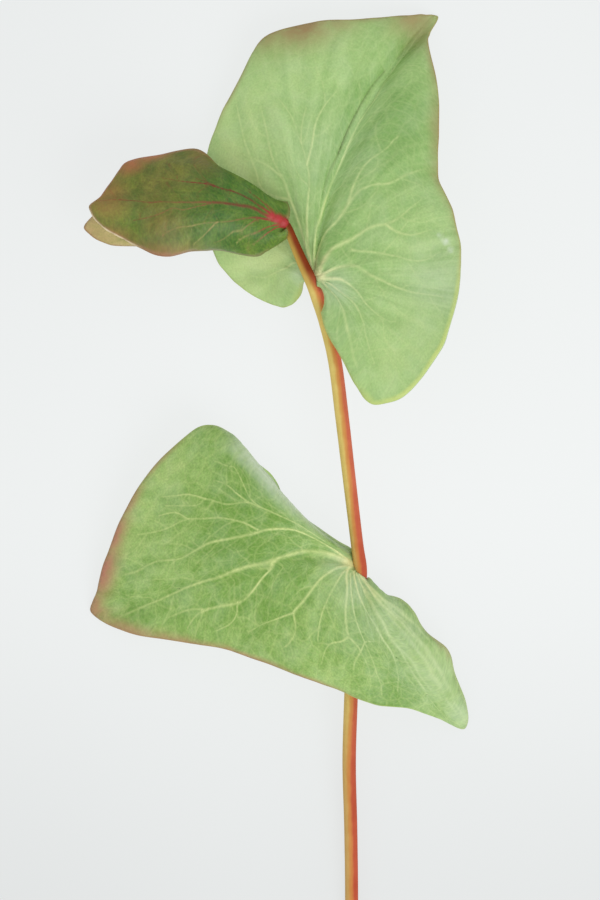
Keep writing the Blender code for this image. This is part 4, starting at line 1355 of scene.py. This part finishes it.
YOUNGEST_VEINS = (
    (0.8, 0.3, ((278, 224), (250, 218), (220, 217), (190, 217), (160, 219), (130, 224), (92, 230))),
    (0.5, 0.25, ((272, 225), (240, 226), (210, 228), (170, 231), (135, 236), (105, 238))),
    (0.5, 0.25, ((272, 222), (240, 212), (210, 206), (170, 205), (135, 210))),
)
YOUNGEST_BLUSH = ((96, 228, 30, 0.5, 4.0), (130, 244, 40, 0.4, 1.5))
finish_leaf("youngest_leaf", "leaf_youngest", {
    "slot": "youngest_leaf", "foot": TIP_FOOT,
    "ring": ((-150.0, 55.6), (-180.0, 57.2), (-215.0, 57.6)), "ribs": YOUNGEST_RIBS, "midrib": 4,
    "knob_height": 0.0, "veins": YOUNGEST_VEINS,
    "side_veins": ((2, 5.0, 8.0, 0.2, 0.3),), "blush": YOUNGEST_BLUSH, "spacing": 0.7, "seed": 41,
    "quilt_width": 1.6, "pleat_width": 4.0,
}, {
    "deep": (160, 160, 90), "light": (212, 190, 132), "clouds": 0.8, "streaks": 1.0, "grain": 0.1,
    "haze": 0.05, "beside": 0.2, "vein": (206, 176, 120), "vein_share": 0.7,
    "pale_vein": (206, 190, 140), "net_colour": (206, 186, 124), "net": 0.15, "fine_net": 0.15,
    "crease": (120, 100, 60), "knob": (190, 90, 70), "blush": (176, 138, 98),
    "rolled_edge_and_glint": (206, 190, 140), "rolled_edge_and_glint_width": 1.0, "edge": (170, 126, 88), "pale_edge": (176, 156, 100),
    "edge_share": 0.7, "edge_width": 0.45, "back": (160, 160, 104), "back_vein": (178, 150, 110),
}, {"Quilting": 0.1 * MM})


# Table, light and camera: a plain pale table, lit softly from all round and a little more from the
# lower right, seen from straight above.
FLOOR_SIZE = 3.0
floor_mesh = bpy.data.meshes.new("floor")
floor_corners = [(x * FLOOR_SIZE / 2.0, y * FLOOR_SIZE / 2.0, 0.0)
                 for x, y in ((-1, -1), (1, -1), (1, 1), (-1, 1))]
floor_mesh.from_pydata(floor_corners, [], [(0, 1, 2, 3)])
floor = new_object("floor", floor_mesh)
table_top, table_tree, table_shader = new_material("table_top")
table_place = put_node(table_tree, "ShaderNodeTexCoord", None, "Object")
table_x = put_node(table_tree, "ShaderNodeSeparateXYZ", {0: table_place}, "X")
table_y = table_x.also("Y")
# The table top glows with painted light, brightest in the middle and dimmer towards the near edge, the
# far edge and the left
near_glow = eased(table_y, -0.13, 0.0, 0.86, 1.0)
far_glow = eased(table_y, 0.0, 0.14, 1.0, 0.965)
side_glow = eased(table_x, -0.08, 0.0, 0.965, 1.0)
table_glow = put_node(table_tree, "ShaderNodeVectorMath",
                      {0: (0.982, 1.0, 0.995), "Scale": near_glow * far_glow * side_glow},
                      operation="SCALE")
feed(table_shader, {"Base Color": from_screen((90, 92, 92)), "Roughness": 0.8,
                    "Specular IOR Level": 0.1, "Emission Color": table_glow,
                    "Emission Strength": 0.785})
floor_mesh.materials.append(table_top)

room = bpy.data.worlds.new("room")
room.use_nodes = True
feed(room.node_tree.nodes["Background"], {"Color": (0.97, 0.99, 1.0, 1.0), "Strength": 0.8})
bpy.context.scene.world = room

softbox = bpy.data.lights.new("softbox", "AREA")
softbox.shape = "DISK"
softbox.size = 0.7
softbox.energy = 3.0
softbox_stand = new_object("softbox", softbox)
softbox_stand.location = (0.35, -0.4, 0.65)
softbox_way = Vector((0.0, 0.0, 0.01)) - softbox_stand.location
softbox_stand.rotation_euler = softbox_way.to_track_quat("-Z", "Y").to_euler()

camera = bpy.data.cameras.new("camera")
camera.lens = 135.0
camera.sensor_width = 36.0
camera_stand = new_object("camera", camera)
camera_stand.location = (*(-DRAWING_CENTRE[:2] * MM), (VIEW_DISTANCE + VIEW_HEIGHT) * MM)
bpy.context.scene.camera = camera_stand
bpy.context.scene.view_settings.view_transform = "Standard"
